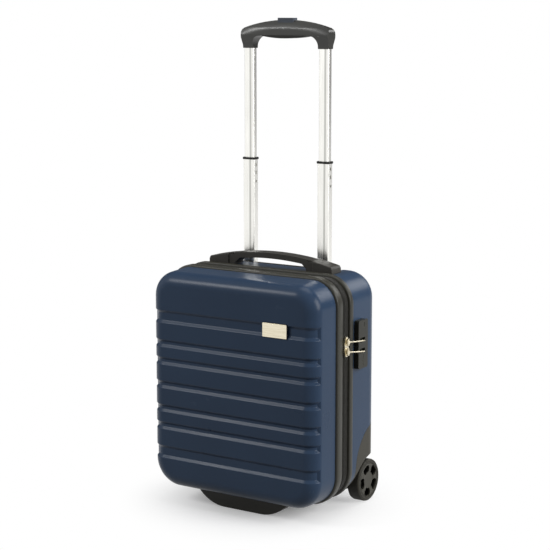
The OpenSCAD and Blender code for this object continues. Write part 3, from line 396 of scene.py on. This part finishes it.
def shell_patches():
    """Grids of the front shell: a middle band with the channels, two straight strips and four
    corners, all cut from one edge curve."""
    # the angles are closest together where the channels end
    turn = np.radians(np.concatenate([np.arange(87.4, 80, -1.2), np.arange(79.5, 60, -0.75),
                                      np.arange(60, -0.1, -3.0)]))
    inset, deep, angle = edge_curve(shell_depth, edge_r, draft, turn)
    share = np.linspace(-1, 1, 15)
    # rows: one every 5 mm, and closer ones down each channel's wall from just outside its mouth
    low_z, high_z, least_step = case_bottom + bottom_r, case_top - top_r, 0.12
    wall_rows = np.linspace(-6.2, 0.8, 19)
    lips = [middle + side * (mouth / 2 + wall_rows) for middle, mouth in channels for side in (-1, 1)]
    z = np.unique(np.round(np.concatenate(lips + [np.linspace(low_z, high_z, 60)]), 2))
    z = z[(z >= low_z) & (z <= high_z)]
    z = z[np.concatenate([[True], np.diff(z) > least_step])]
    z[0], z[-1] = low_z, high_z
    # columns: left rim to flat, then across, then flat to right rim
    across = half_w - bottom_r + (bottom_r - top_r) * (z - low_z) / (high_z - low_z)
    left = np.repeat((inset - half_w)[None, :], len(z), 0)
    x = np.concatenate([left, across[:, None] * share, -left[:, ::-1]], 1)
    d = np.concatenate([deep, 0 * share + shell_depth, deep[::-1]])
    a = np.concatenate([angle, 0 * share, angle[::-1]])
    side = np.concatenate([-np.ones_like(inset), 0 * share, np.ones_like(inset)])
    cut = channel_cut(z, a)
    patches = [grid(x - cut * np.sin(a) * side, rim_y - d + cut * np.cos(a), z[:, None])]
    quarter = np.linspace(0, np.pi / 2, 21)
    for up, r, edge in ((1, top_r, case_top), (-1, bottom_r, case_bottom)):
        ins = np.concatenate([inset, [r]])
        y = (rim_y - np.concatenate([deep, [shell_depth]]))[:, None]
        strip = grid((half_w - r) * share, y, (edge - up * ins)[:, None])
        patches.append(strip[::up])
        rho = (r - ins)[:, None]
        for sx in (1, -1):
            corner = grid(sx * (half_w - r + rho * np.cos(quarter)), y,
                          edge - up * r + up * rho * np.sin(quarter))
            patches.append(corner[::-up * sx])
    return patches


def weld(patches, gap=0.002):
    """Joins grids of points (rows, columns, 3) into one list of points and faces, where points that
    fall in the same cell of the size of gap become one."""
    points, faces, start = [], [], 0
    for patch in patches:
        rows, columns = patch.shape[:2]
        k = np.arange(rows * columns).reshape(rows, columns) + start
        faces.append(np.stack([k[:-1, :-1], k[:-1, 1:], k[1:, 1:], k[1:, :-1]], -1).reshape(-1, 4))
        points.append(patch.reshape(-1, 3))
        start += rows * columns
    points, faces = np.concatenate(points), np.concatenate(faces)
    _, first, back = np.unique(np.round(points / gap).astype(np.int64), axis=0,
                               return_index=True, return_inverse=True)
    faces = [list(dict.fromkeys(f)) for f in back.ravel()[faces].tolist()]
    return points[first], [f for f in faces if len(f) >= 3]


def shade(bm, sharp_angle):
    """Shades all faces smooth, with sharp edges above the angle in degrees."""
    for face in bm.faces:
        face.smooth = True
    for edge in bm.edges:
        edge.smooth = len(edge.link_faces) == 2 and edge.calc_face_angle(0) < radians(sharp_angle)


def tidy_normals(obj, sharp_angle=40):
    """Turns all faces outwards and shades them smooth, with sharp edges above the angle."""
    bm = bmesh.new()
    bm.from_mesh(obj.data)
    bmesh.ops.recalc_face_normals(bm, faces=bm.faces)
    shade(bm, sharp_angle)
    bm.to_mesh(obj.data)
    bm.free()


navy = plastic("navy_polycarbonate", srgb(46, 66, 92), srgb(52, 72, 98), srgb(96, 106, 122),
               (0.26, 0.34), pebble=1500.0, relief=0.10, wear_and_highlight=0.0, cloud=7.0, shine=0.18)
front_shell = mesh_object("front_shell_sheet", *weld(shell_patches()))
tidy_normals(front_shell)
facing = np.empty(len(front_shell.data.polygons) * 3)
front_shell.data.polygons.foreach_get("normal", facing)
if facing[1::3].mean() > 0:
    front_shell.data.flip_normals()
sheet = front_shell.modifiers.new("sheet", "SOLIDIFY")
sheet.thickness = sheet_wall * MM
sheet.offset = -1
front_shell.data.materials.append(navy)
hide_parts("front_shell")
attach(front_shell, "lid")


# ---- Rear shell ----
# The same navy sheet, deeper, with channels round its back edges. Openings are cut for the lock and
# the trolley's bezel, and the lower corners make room for the wheel housings.
def finish_node(node, mat):
    """Gives a CAD node's own object a finish."""
    obj = frame["nodes"][node]
    obj.data.materials.clear()
    obj.data.materials.append(mat)


finish_node("rear_shell", navy)


# ---- Trims ----
# Charcoal elastomer bands, each moulded in one ring. They grip the shells' rims and carry the
# zip's tapes, which are sewn on.
# Their pale edge tone is a painted highlight along the trims' edges; in scuffs the same tone is wear.
trim_grey = plastic("charcoal_trim", srgb(48, 47, 39), srgb(55, 54, 46), srgb(150, 147, 132),
                    (0.36, 0.46), pebble=1100.0, relief=0.14, wear_and_highlight=0.6, shine=0.35)
body_of = {node: body for body, nodes in frame["record"]["behaviour"]["bodies"].items()
           for node in nodes}


def round_edges(obj, width, segments, angle):
    """Bevels the edges that are sharper than the angle in degrees."""
    bevel = obj.modifiers.new("rounded_edges", "BEVEL")
    bevel.width = width
    bevel.segments = segments
    bevel.limit_method = "ANGLE"
    bevel.angle_limit = radians(angle)
    bevel.harden_normals = True


def dressed_copy(node, mat, bevel=0.0, segments=2, angle=35):
    """Welded copy of a CAD node with rounded edges and smooth shading, which stands for it."""
    obj = frame["nodes"][node].copy()
    obj.data = frame["nodes"][node].data.copy()
    obj.name = node + "_dressed"
    obj.parent = None
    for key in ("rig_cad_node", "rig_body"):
        if key in obj:
            del obj[key]
    scene.collection.objects.link(obj)
    obj.data.materials.clear()
    obj.data.materials.append(mat)
    bm = bmesh.new()
    bm.from_mesh(obj.data)
    bmesh.ops.remove_doubles(bm, verts=bm.verts, dist=2e-6)
    shade(bm, angle)
    bm.to_mesh(obj.data)
    bm.free()
    if bevel:
        round_edges(obj, bevel, segments, angle)
    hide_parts(node)
    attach(obj, body_of[node])
    return obj


for name in ("rear_trim", "front_trim"):
    dressed_copy(name, trim_grey, 0.0008, angle=50)


# ---- Zip ----
# Two woven tapes sewn into the trims, each with a row of moulded teeth that meet in the middle.
# A strip of the same tape inside the -X side is the lid's hinge.
zip_y, zip_sink, tooth_pitch = -28.25, 1.2, 2.4
cloth_half, cloth_middle = np.array([0.165, 0.09, 0.19]), np.array([0, -0.03, 0.224])
# direction and starting angle of each wave in the cloth
cloth_waves = (((41, 30, 74), 0.4), ((-67, 55, 38), 1.9), ((96, 20, -52), 0.0))


def woven(name, dark, light, pitch, relief, polish=(0.75, 0.9), sheen=0.15):
    """Plain weave: height is sin kx sin kz + sin ky sin kz + sin kx sin ky with k = 2 pi / pitch,
    so that threads cross on a surface that faces any way; tone follows a slow cloud, and height, which
    paints shade into the weave's hollows."""
    mat, tree, shader = material(name)
    places = tree.nodes.new("ShaderNodeTexCoord").outputs["Object"]
    phase = tree.nodes.new("ShaderNodeVectorMath")
    phase.operation = "SCALE"
    phase.inputs["Scale"].default_value = 2 * np.pi / pitch
    tree.links.new(places, phase.inputs[0])
    wave = tree.nodes.new("ShaderNodeVectorMath")
    wave.operation = "SINE"
    tree.links.new(phase.outputs[0], wave.inputs[0])
    axes = tree.nodes.new("ShaderNodeSeparateXYZ")
    tree.links.new(wave.outputs[0], axes.inputs[0])
    x, y, z = (axes.outputs[i] for i in range(3))
    high = work_out(tree, "ADD", work_out(tree, "MULTIPLY", x, z),
                    work_out(tree, "MULTIPLY", y, work_out(tree, "ADD", x, z)))
    cloud = noise(tree, places, 22, 4, 0.6)
    # Lower height gives a darker tone: painted shade in the weave's hollows
    tone = ramp(tree, work_out(tree, "ADD", work_out(tree, "MULTIPLY", high, 0.35), cloud), 0.1, 0.9)
    tree.links.new(colour_mix(tree, tone, dark, light), shader.inputs["Base Color"])
    tree.links.new(ramp(tree, cloud, 0.3, 0.7, polish[0], polish[1]), shader.inputs["Roughness"])
    raise_surface(tree, shader, high, relief, 0.0003)
    shader.inputs["Sheen Weight"].default_value = sheen
    shader.inputs["Specular IOR Level"].default_value = 0.2
    return mat


def refine(bm, size):
    """Halves every edge longer than size, in metres, until none is left."""
    for _ in range(8):
        bmesh.ops.triangulate(bm, faces=bm.faces)
        long = [edge for edge in bm.edges if edge.calc_length() > size]
        if not long:
            break
        bmesh.ops.subdivide_edges(bm, edges=long, cuts=1)


def read_points(obj):
    """The mesh's points in metres, as an array of rows (x, y, z)."""
    points = np.empty(len(obj.data.vertices) * 3)
    obj.data.vertices.foreach_get("co", points)
    return points.reshape(-1, 3)


def write_points(obj, points):
    """Puts an array of points in metres back into the mesh."""
    obj.data.vertices.foreach_set("co", points.ravel())
    obj.data.update()


def slacken(obj, ripple):
    """Lets cloth move inwards by ripple (1 + w) / 2, in metres, where w is the mean of three sine
    waves across the case. Inwards is against the gradient of (x/a)^8 + (y/b)^8 + (z/c)^8."""
    p = read_points(obj)
    q = (p - cloth_middle) / cloth_half
    out = np.sign(q) * np.abs(q) ** 7 / cloth_half
    out /= np.linalg.norm(out, axis=1)[:, None] + 1e-9
    w = sum(np.sin(p @ way + start) for way, start in cloth_waves) / 3
    write_points(obj, p - out * (ripple * (1 + w) / 2)[:, None])


def cloth_copy(node, mat, size, ripple=0.0):
    """Welded copy of a soft CAD node in faces no longer than size, with the slack of real cloth."""
    obj = dressed_copy(node, mat)
    bm = bmesh.new()
    bm.from_mesh(obj.data)
    refine(bm, size)
    shade(bm, 40)
    bm.to_mesh(obj.data)
    bm.free()
    if ripple:
        slacken(obj, ripple)
    return obj


def outline(inset):
    """Points (x, z), outward normals and running length of the case's outline moved inwards: four
    arcs whose ends are joined by straight lines."""
    points, normals = [], []
    for start, sx, up, r, edge in ((0, 1, 1, top_r, case_top), (1, -1, 1, top_r, case_top),
                                   (2, -1, -1, bottom_r, case_bottom), (3, 1, -1, bottom_r, case_bottom)):
        a = np.linspace(0, np.pi / 2, 25) + start * np.pi / 2
        ring = np.stack([np.cos(a), np.sin(a)], 1)
        normals.append(ring)
        points.append(np.array([sx * (half_w - r), edge - up * r]) + (r - inset) * ring)
    points = np.concatenate(points + [points[0][:1]])
    normals = np.concatenate(normals + [normals[0][:1]])
    run = np.concatenate([[0], np.cumsum(np.linalg.norm(np.diff(points, axis=0), axis=1))])
    return points, normals, run


def zip_teeth(name, side, body):
    """Row of teeth on one tape: small tapered blocks every tooth_pitch along the outline; side is
    -1 for the lid's row and 1 for the other, which stands half a step on."""
    points, normals, run = outline(zip_sink)
    count = int(run[-1] / tooth_pitch)
    s = (np.arange(count) + (0.25 if side > 0 else 0.75)) * run[-1] / count
    at = np.stack([np.interp(s, run, points[:, k]) for k in (0, 1)], 1)
    out = np.stack([np.interp(s, run, normals[:, k]) for k in (0, 1)], 1)
    along = np.stack([-out[:, 1], out[:, 0]], 1)
    # corners of a tooth: along the zip, across to its own side, and out of the tape
    block = np.array([(-0.8, 0.3, -0.1), (0.8, 0.3, -0.1), (0.8, 2.5, -0.1), (-0.8, 2.5, -0.1),
                      (-0.5, 0.35, 0.92), (0.5, 0.35, 0.92), (0.4, 2.0, 0.92), (-0.4, 2.0, 0.92)])
    quads = np.array([(0, 1, 5, 4), (1, 2, 6, 5), (2, 3, 7, 6), (3, 0, 4, 7), (4, 5, 6, 7), (3, 2, 1, 0)])
    flat = at[:, None, :] + along[:, None, :] * block[None, :, :1] + out[:, None, :] * block[None, :, 2:]
    corners = grid(flat[..., 0], zip_y + side * block[:, 1], flat[..., 1])
    faces = (quads + 8 * np.arange(count)[:, None, None]).reshape(-1, 4)
    obj = mesh_object(name, corners.reshape(-1, 3), faces.tolist())
    tidy_normals(obj, 25)
    obj.data.materials.append(black)
    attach(obj, body)


zip_weave = woven("zip_weave", srgb(30, 29, 25), srgb(44, 43, 38), 0.0016, 0.35)
black = plastic("black_moulding", srgb(24, 24, 23), srgb(32, 32, 30), srgb(70, 70, 66),
                (0.4, 0.55), pebble=1100.0, relief=0.15, wear_and_highlight=0.4)
for name in ("rear_zip_tape", "front_zip_tape", "hinge_tape"):
    cloth_copy(name, zip_weave, 0.02)
zip_teeth("front_zip_teeth", -1, "lid")
zip_teeth("rear_zip_teeth", 1, "base")


# ---- Linings, tube panel and mesh pocket ----
# Thin woven polyester, sewn to the trims and a little slack. A panel behind a zip covers the
# trolley's tubes, and the lid has a net pocket with an elastic hem.
slack_by, cloth_cell = 0.003, 0.011
lining = woven("lining_weave", srgb(104, 107, 113), srgb(136, 139, 145), 0.0022, 0.3, (0.8, 0.92), 0.3)
# The net's darkest tone, in the hollows of its coarse weave, is painted shade in its holes.
net = woven("pocket_net", srgb(26, 27, 29), srgb(98, 101, 106), 0.0052, 0.7, (0.8, 0.92))
cloth_copy("rear_lining", lining, cloth_cell, slack_by)
panel = cloth_copy("tube_panel", lining, cloth_cell, slack_by)
cloth_copy("front_lining", lining, cloth_cell, slack_by)
pocket = cloth_copy("mesh_pocket", net, cloth_cell, slack_by)


def cloth_strip(name, low, high, mat, body, cell):
    """Flat strip between two corners in millimetres, in faces no longer than cell, in metres, that
    shares the slack of the cloth it is sewn to."""
    bm = bmesh.new()
    bmesh.ops.create_cube(bm, size=1)
    low, high = np.array(low) * MM, np.array(high) * MM
    bmesh.ops.scale(bm, vec=high - low, verts=bm.verts)
    bmesh.ops.translate(bm, vec=(low + high) / 2, verts=bm.verts)
    bmesh.ops.bevel(bm, geom=bm.edges, offset=float(min(high - low)) * 0.3, segments=2, affect="EDGES")
    refine(bm, cell)
    mesh = bpy.data.meshes.new(name)
    bm.to_mesh(mesh)
    bm.free()
    obj = bpy.data.objects.new(name, mesh)
    scene.collection.objects.link(obj)
    slacken(obj, slack_by)
    tidy_normals(obj)
    mesh.materials.append(mat)
    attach(obj, body)
    return obj


def cloth_area(obj):
    """Area of one side of thin cloth in square metres: half the sum of its faces."""
    area = np.empty(len(obj.data.polygons))
    obj.data.polygons.foreach_get("area", area)
    return area.sum() / 2


# Corners of the panel's zip, from the left end of its middle line on the panel's face
panel_low, panel_high = (np.array(v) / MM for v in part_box("tube_panel"))
zip_start = np.array([-128.0, panel_low[1], 352.0])
panel_zip = [
    cloth_strip("panel_zip_" + name, zip_start + low, zip_start + high, mat, "base", cell)
    for name, low, high, mat, cell in (
        ("tape", (0, -0.8, -13), (256, -0.1, 13), zip_weave, 0.009),
        ("coil", (4, -2.2, -2.2), (252, -0.7, 2.2), black, 0.006),
        ("slider", (6, -5.0, -5), (19, -2.3, 5), black, 0.006),
        ("pull", (9, -6.6, -30), (16, -5.1, 1), black, 0.006))]
pocket_low, pocket_high = (np.array(v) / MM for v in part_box("mesh_pocket"))
hem_front = (pocket_low[0] - 1, pocket_low[1] + 2.1, pocket_high[2] - 11)
hem_back = (pocket_high[0] + 1, pocket_high[1] + 1.6, pocket_high[2] + 1)
pocket_hem = cloth_strip("pocket_hem", hem_front, hem_back, zip_weave, "lid", 0.005)

for piece, low, high, lies_on, on_it in (
        (panel, panel_low, panel_high, "rear_lining", panel_zip),
        (pocket, pocket_low, pocket_high, "front_lining", [pocket_hem])):
    flat = (high[0] - low[0]) * MM, (high[2] - low[2]) * MM
    min(cloth_area(piece), flat[0] * flat[1])


# ---- Packing straps and buckle ----
# Black polypropylene webbing, sewn into the rear trim on both sides, with a side release buckle
# that is moulded in acetal.
webbing = woven("webbing_weave", srgb(24, 24, 24), srgb(46, 46, 45), 0.0030, 0.7)
for name in ("upper_straps", "lower_straps"):
    cloth_copy(name, webbing, 0.012)
for name in ("buckle_socket", "buckle_plug"):
    dressed_copy(name, black, 0.0006)


# ---- Badge ----
# A bare plate of brushed aluminium, anodised in a champagne tone and glued into a black base that
# stands across the upper channel.
def brushed(name, dark, light, polish, along=(1, 1, 0.02), scale=900.0):
    """Brushed metal: streaks of tone and polish, drawn out along the axis whose scale is small."""
    mat, tree, shader = material(name)
    places = tree.nodes.new("ShaderNodeTexCoord").outputs["Object"]
    stretch = tree.nodes.new("ShaderNodeMapping")
    stretch.inputs["Scale"].default_value = along
    tree.links.new(places, stretch.inputs["Vector"])
    streak = noise(tree, stretch.outputs[0], scale, 3, 0.6)
    broad = work_out(tree, "MULTIPLY", noise(tree, places, 11, 2), 0.4)
    tone = ramp(tree, work_out(tree, "ADD", streak, broad), 0.45, 0.95)
    tree.links.new(colour_mix(tree, tone, dark, light), shader.inputs["Base Color"])
    tree.links.new(ramp(tree, streak, 0.3, 0.7, polish[0], polish[1]), shader.inputs["Roughness"])
    raise_surface(tree, shader, streak, 0.06, 0.0001)
    shader.inputs["Metallic"].default_value = 1.0
    return mat


champagne = brushed("satin_champagne", srgb(206, 196, 168), srgb(244, 236, 214), (0.24, 0.36),
                    along=(0.03, 1, 1))
dressed_copy("badge_base", black, 0.0003)
dressed_copy("badge_plate", champagne, 0.0004)


# ---- Foot ----
# One black moulding under the lid's front edge, on which the case stands level with its wheels.
# Two zinc-plated screws hold it from inside the shell.
foot_black = plastic("foot_plastic", srgb(38, 37, 33), srgb(46, 45, 40), srgb(84, 82, 76), (0.4, 0.55),
                     relief=0.2, wear_and_highlight=0.6)
steel = brushed("zinc_steel", srgb(120, 121, 122), srgb(168, 168, 168), (0.3, 0.42), along=(1, 1, 1))
dressed_copy("front_foot", foot_black, 0.0015, 3, angle=30)
finish_node("foot_screws", steel)


# ---- Trolley ----
# Three stages of drawn aluminium tube that slide in each other on black guide shoes. The outer pair
# is fixed between a base plate and the bezel in the top of the case. Each tube's front has a grey
# band of painted shade beside its bright edge, for the shade of a groove, and grey painted shade
# along its edges.
tube_metal = brushed("brushed_tube", srgb(236, 235, 230), srgb(254, 253, 248), (0.24, 0.34))
tube_low, tube_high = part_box("fixed_tube_right")
tube_x = round((tube_low[0] + tube_high[0]) / 2, 4)


def overlay(mat, mask, colour):
    """Puts a colour over a finish where mask is 1."""
    tree = mat.node_tree
    socket = tree.nodes["Principled BSDF"].inputs["Base Color"]
    tree.links.new(colour_mix(tree, mask, socket.links[0].from_socket, colour), socket)


def places_along(tree):
    """X, Y and Z of the Object coordinates, as a node with three outputs."""
    axes = tree.nodes.new("ShaderNodeSeparateXYZ")
    tree.links.new(tree.nodes.new("ShaderNodeTexCoord").outputs["Object"], axes.inputs[0])
    return axes


def paint_tube_shade(mat):
    """Paints shade on both tubes: a grey band of painted groove shade, whose place across is x + tube_x
    wrapped to -tube_x..tube_x, which is 0 on either tube's middle, and the same grey along their edges
    as painted shade."""
    tree = mat.node_tree
    wrap = tree.nodes.new("ShaderNodeMath")
    wrap.operation = "WRAP"
    tree.links.new(work_out(tree, "ADD", places_along(tree).outputs["X"], tube_x), wrap.inputs[0])
    wrap.inputs[1].default_value = tube_x
    wrap.inputs[2].default_value = -tube_x
    # A band of painted shade beside the bright edge, for the shade of a groove
    groove_shade = work_out(tree, "MULTIPLY", ramp(tree, wrap.outputs[0], 0.0012, 0.0022),
                    ramp(tree, wrap.outputs[0], 0.0062, 0.0048))
    # Painted shade along the tubes' edges, in the same grey
    edges = ramp(tree, use(tree, edge_wear_and_light, Radius=0.0009, Breakup=5.0).outputs["Mask"], 0.0, 0.6)
    overlay(mat, work_out(tree, "MAXIMUM", work_out(tree, "MULTIPLY", groove_shade, 0.62), edges),
            srgb(150, 151, 146))


paint_tube_shade(tube_metal)
for stage in ("fixed_tube_", "lower_tube_", "upper_tube_"):
    for side in ("left", "right"):
        dressed_copy(stage + side, tube_metal)
for name in ("collar_left", "collar_right", "trolley_bezel"):
    dressed_copy(name, black, 0.0006)
for name in ("lower_glides", "upper_glides", "trolley_base"):
    finish_node(name, black)


# ---- Grip ----
# A glossy black moulding that sits over the ends of the upper tubes, with a soft insert in its
# underside. Its top holds the release button, whose rods run down the tubes and whose spring
# presses it up.
grip_dark = plastic("grip_plastic", srgb(36, 36, 32), srgb(43, 43, 38), srgb(96, 94, 88), (0.26, 0.34),
                    pebble=1100.0, relief=0.1, wear_and_highlight=0.4, shine=0.6)
soft_grey = plastic("grip_insert_rubber", srgb(36, 36, 34), srgb(44, 44, 41), srgb(70, 70, 66),
                    (0.6, 0.7), pebble=700.0, relief=0.3, wear_and_highlight=0.2)
button_blue = plastic("button_plastic", srgb(74, 80, 90), srgb(88, 94, 104), srgb(130, 134, 140),
                      (0.35, 0.5), wear_and_highlight=0.4)
grip_low, grip_high = (np.array(v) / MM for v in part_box("grip"))
grip_middle = (grip_low[1] + grip_high[1]) / 2


def crown(obj, reach=17.0, share=0.42, strip_w=3):
    """Rounds the grip's front and back towards its arched top: y is scaled by 1 - share u^2, where
    u goes from 0, reach below the arch, to 1 at the arch. The arch is a curve of the fourth degree
    through the highest points of strips strip_w wide."""
    bm = bmesh.new()
    bm.from_mesh(obj.data)
    refine(bm, 0.0035)
    bm.to_mesh(obj.data)
    bm.free()
    p = read_points(obj) / MM
    strip = np.round(p[:, 0] / strip_w).astype(int)
    strip -= strip.min()
    tops = np.full(strip.max() + 1, -1e9)
    np.maximum.at(tops, strip, p[:, 2])
    places = np.linspace(p[:, 0].min(), p[:, 0].max(), len(tops))
    arch = np.polyval(np.polyfit(places, tops, 4), p[:, 0])
    u = np.clip(1 - (arch - p[:, 2]) / reach, 0, 1)
    p[:, 1] = grip_middle + (p[:, 1] - grip_middle) * (1 - share * u ** 2)
    write_points(obj, p * MM)
    tidy_normals(obj, 38)


grip = dressed_copy("grip", grip_dark)
crown(grip)
round_edges(grip, 0.0006, 2, 50)
dressed_copy("grip_insert", soft_grey, 0.0003)
dressed_copy("release_button", button_blue, 0.0008, 3)
for name in ("release_rods", "button_spring"):
    finish_node(name, steel)


# ---- Carry handle ----
# A flexible moulded strap over two end blocks, which are screwed through the rear shell. It lifts a
# little in the blocks when the case is carried.
handle_grey = plastic("handle_plastic", srgb(58, 56, 52), srgb(66, 64, 60), srgb(104, 101, 95),
                      (0.4, 0.52), pebble=1000.0, relief=0.16, wear_and_highlight=0.4)
dressed_copy("carry_grip", handle_grey, 0.0005, angle=30)
for name in ("handle_block_left", "handle_block_right"):
    dressed_copy(name, handle_grey, 0.0016, 3, angle=30)
finish_node("handle_screws", steel)


# ---- Lock ----
# A black housing set in the side of the rear shell, with a round key cylinder and three number
# dials of dark plated metal, which turn on one steel pin. Two slots take the zip's pulls.
lock_black = plastic("lock_plastic", srgb(38, 38, 31), srgb(46, 46, 38), srgb(84, 84, 72), (0.3, 0.4),
                     pebble=1100.0, relief=0.1, wear_and_highlight=0.5)
gunmetal = brushed("gunmetal", srgb(52, 52, 48), srgb(84, 84, 78), (0.3, 0.42), along=(1, 1, 1))
dressed_copy("lock_body", lock_black, 0.0008, 3)
for name in ("key_cylinder", "lock_dial_1", "lock_dial_2", "lock_dial_3"):
    dressed_copy(name, gunmetal, 0.0003)
dressed_copy("dial_pin", steel, 0.0002)


# ---- Zip sliders ----
# Die-cast sliders with bowed wire pulls, plated in the badge's champagne tone. The pulls' free ends
# lie in the lock's slots.
plating = 0.2
for end in ("upper", "lower"):
    dressed_copy("zip_slider_" + end, champagne, 0.0004)
for end in ("upper", "lower"):
    coat = dressed_copy("zip_pull_" + end, champagne).modifiers.new("plating", "DISPLACE")
    coat.strength = plating * MM
    coat.mid_level = 0


# ---- Wheels ----
# Moulded wheels with five kidney openings and a polyurethane tyre, on plain steel axles. Each turns
# in a grey housing that is screwed into the case's lower corner.
housing_grey = plastic("housing_plastic", srgb(60, 58, 51), srgb(68, 66, 58), srgb(110, 107, 98),
                       (0.42, 0.55), relief=0.16, wear_and_highlight=0.5)
wheel_grey = plastic("wheel_plastic", srgb(62, 60, 53), srgb(72, 70, 62), srgb(118, 115, 106), (0.4, 0.52),
                     relief=0.14, wear_and_highlight=0.5)
tyre_black = plastic("tyre_polyurethane", srgb(34, 33, 29), srgb(44, 42, 37), srgb(84, 82, 74),
                     (0.55, 0.7), pebble=700.0, relief=0.3, wear_and_highlight=0.3)
tyre_low, tyre_high = (np.array(v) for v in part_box("tyre_right"))
axle_line = (tyre_low + tyre_high) / 2 * (0, 1, 1)
wheel_face, opening_depth = tyre_high[0], 0.0115
# Radii in millimetres and angles in degrees from an opening's middle, before and after shaping
radii, new_radii = (0, 14, 17, 22.4, 27.8, 28.8, 40), (0, 13.6, 14.6, 21.8, 28.6, 28.8, 40)
angles, new_angles = (0, 33.3, 36), (0, 26, 36)
opening_reach, opening_zone, opening_step = radii[4], 29, 360 / 5


def wheel_places(tree):
    """Distance from the case's middle plane, and radius from the axle, as two sockets."""
    axes = places_along(tree)
    flat = tree.nodes.new("ShaderNodeVectorMath")
    flat.operation = "MULTIPLY_ADD"
    flat.inputs[1].default_value = (0, 1, 1)
    flat.inputs[2].default_value = -axle_line
    tree.links.new(tree.nodes.new("ShaderNodeTexCoord").outputs["Object"], flat.inputs[0])
    length = tree.nodes.new("ShaderNodeVectorMath")
    length.operation = "LENGTH"
    tree.links.new(flat.outputs[0], length.inputs[0])
    return work_out(tree, "ABSOLUTE", axes.outputs["X"]), length.outputs["Value"]


def shape_openings(obj, turn):
    """Makes the wheel's openings shorter and wider on its outer side, and turns the wheel by turn
    degrees: the radius and the angle from an opening's middle are mapped by straight pieces."""
    p = read_points(obj)
    y, z = p[:, 1] - axle_line[1], p[:, 2] - axle_line[2]
    r, a = np.hypot(y, z) / MM, np.degrees(np.arctan2(z, y))
    outer = np.abs(p[:, 0]) > wheel_face - opening_depth
    rim_points = outer & (np.abs(r - opening_reach) < 0.1)
    first = np.degrees(np.angle(np.exp(5j * np.radians(a[rim_points])).mean())) / 5
    off = (a - first + opening_step / 2) % opening_step - opening_step / 2
    new_off = np.sign(off) * np.interp(np.abs(off), angles, new_angles)
    shaped = outer & (r < opening_zone)
    a = np.where(shaped, a + new_off - off, a) + turn
    r = np.where(shaped, np.interp(r, radii, new_radii), r) * MM
    p[:, 1] = axle_line[1] + r * np.cos(np.radians(a))
    p[:, 2] = axle_line[2] + r * np.sin(np.radians(a))
    write_points(obj, p)


# The openings are painted black inside as painted shade, and the tyre's outer side is a paler ring
# with two fine dark lines that are painted shade of ring grooves.
wheel_tree, tyre_tree = wheel_grey.node_tree, tyre_black.node_tree
depth, _ = wheel_places(wheel_tree)
# Painted shade inside the wheel's openings
overlay(wheel_grey, ramp(wheel_tree, depth, wheel_face - 0.0020, wheel_face - 0.0045), srgb(10, 10, 9))
depth, radius = wheel_places(tyre_tree)
overlay(tyre_black, ramp(tyre_tree, depth, wheel_face - 0.0030, wheel_face - 0.0018), srgb(60, 58, 51))
# Two fine dark lines of painted shade, for the tyre's ring grooves
for line in (0.0313, 0.0345):
    away = work_out(tyre_tree, "ABSOLUTE", work_out(tyre_tree, "SUBTRACT", radius, line))
    overlay(tyre_black, ramp(tyre_tree, away, 0.0006, 0.0002), srgb(22, 21, 19))

for side, turn in (("left", 0), ("right", -13)):
    finish_node("wheel_housing_" + side, housing_grey)
    shape_openings(dressed_copy("wheel_" + side, wheel_grey, 0.0004), turn)
    dressed_copy("tyre_" + side, tyre_black, 0.0006)
    finish_node("axle_" + side, steel)
finish_node("housing_screws", steel)
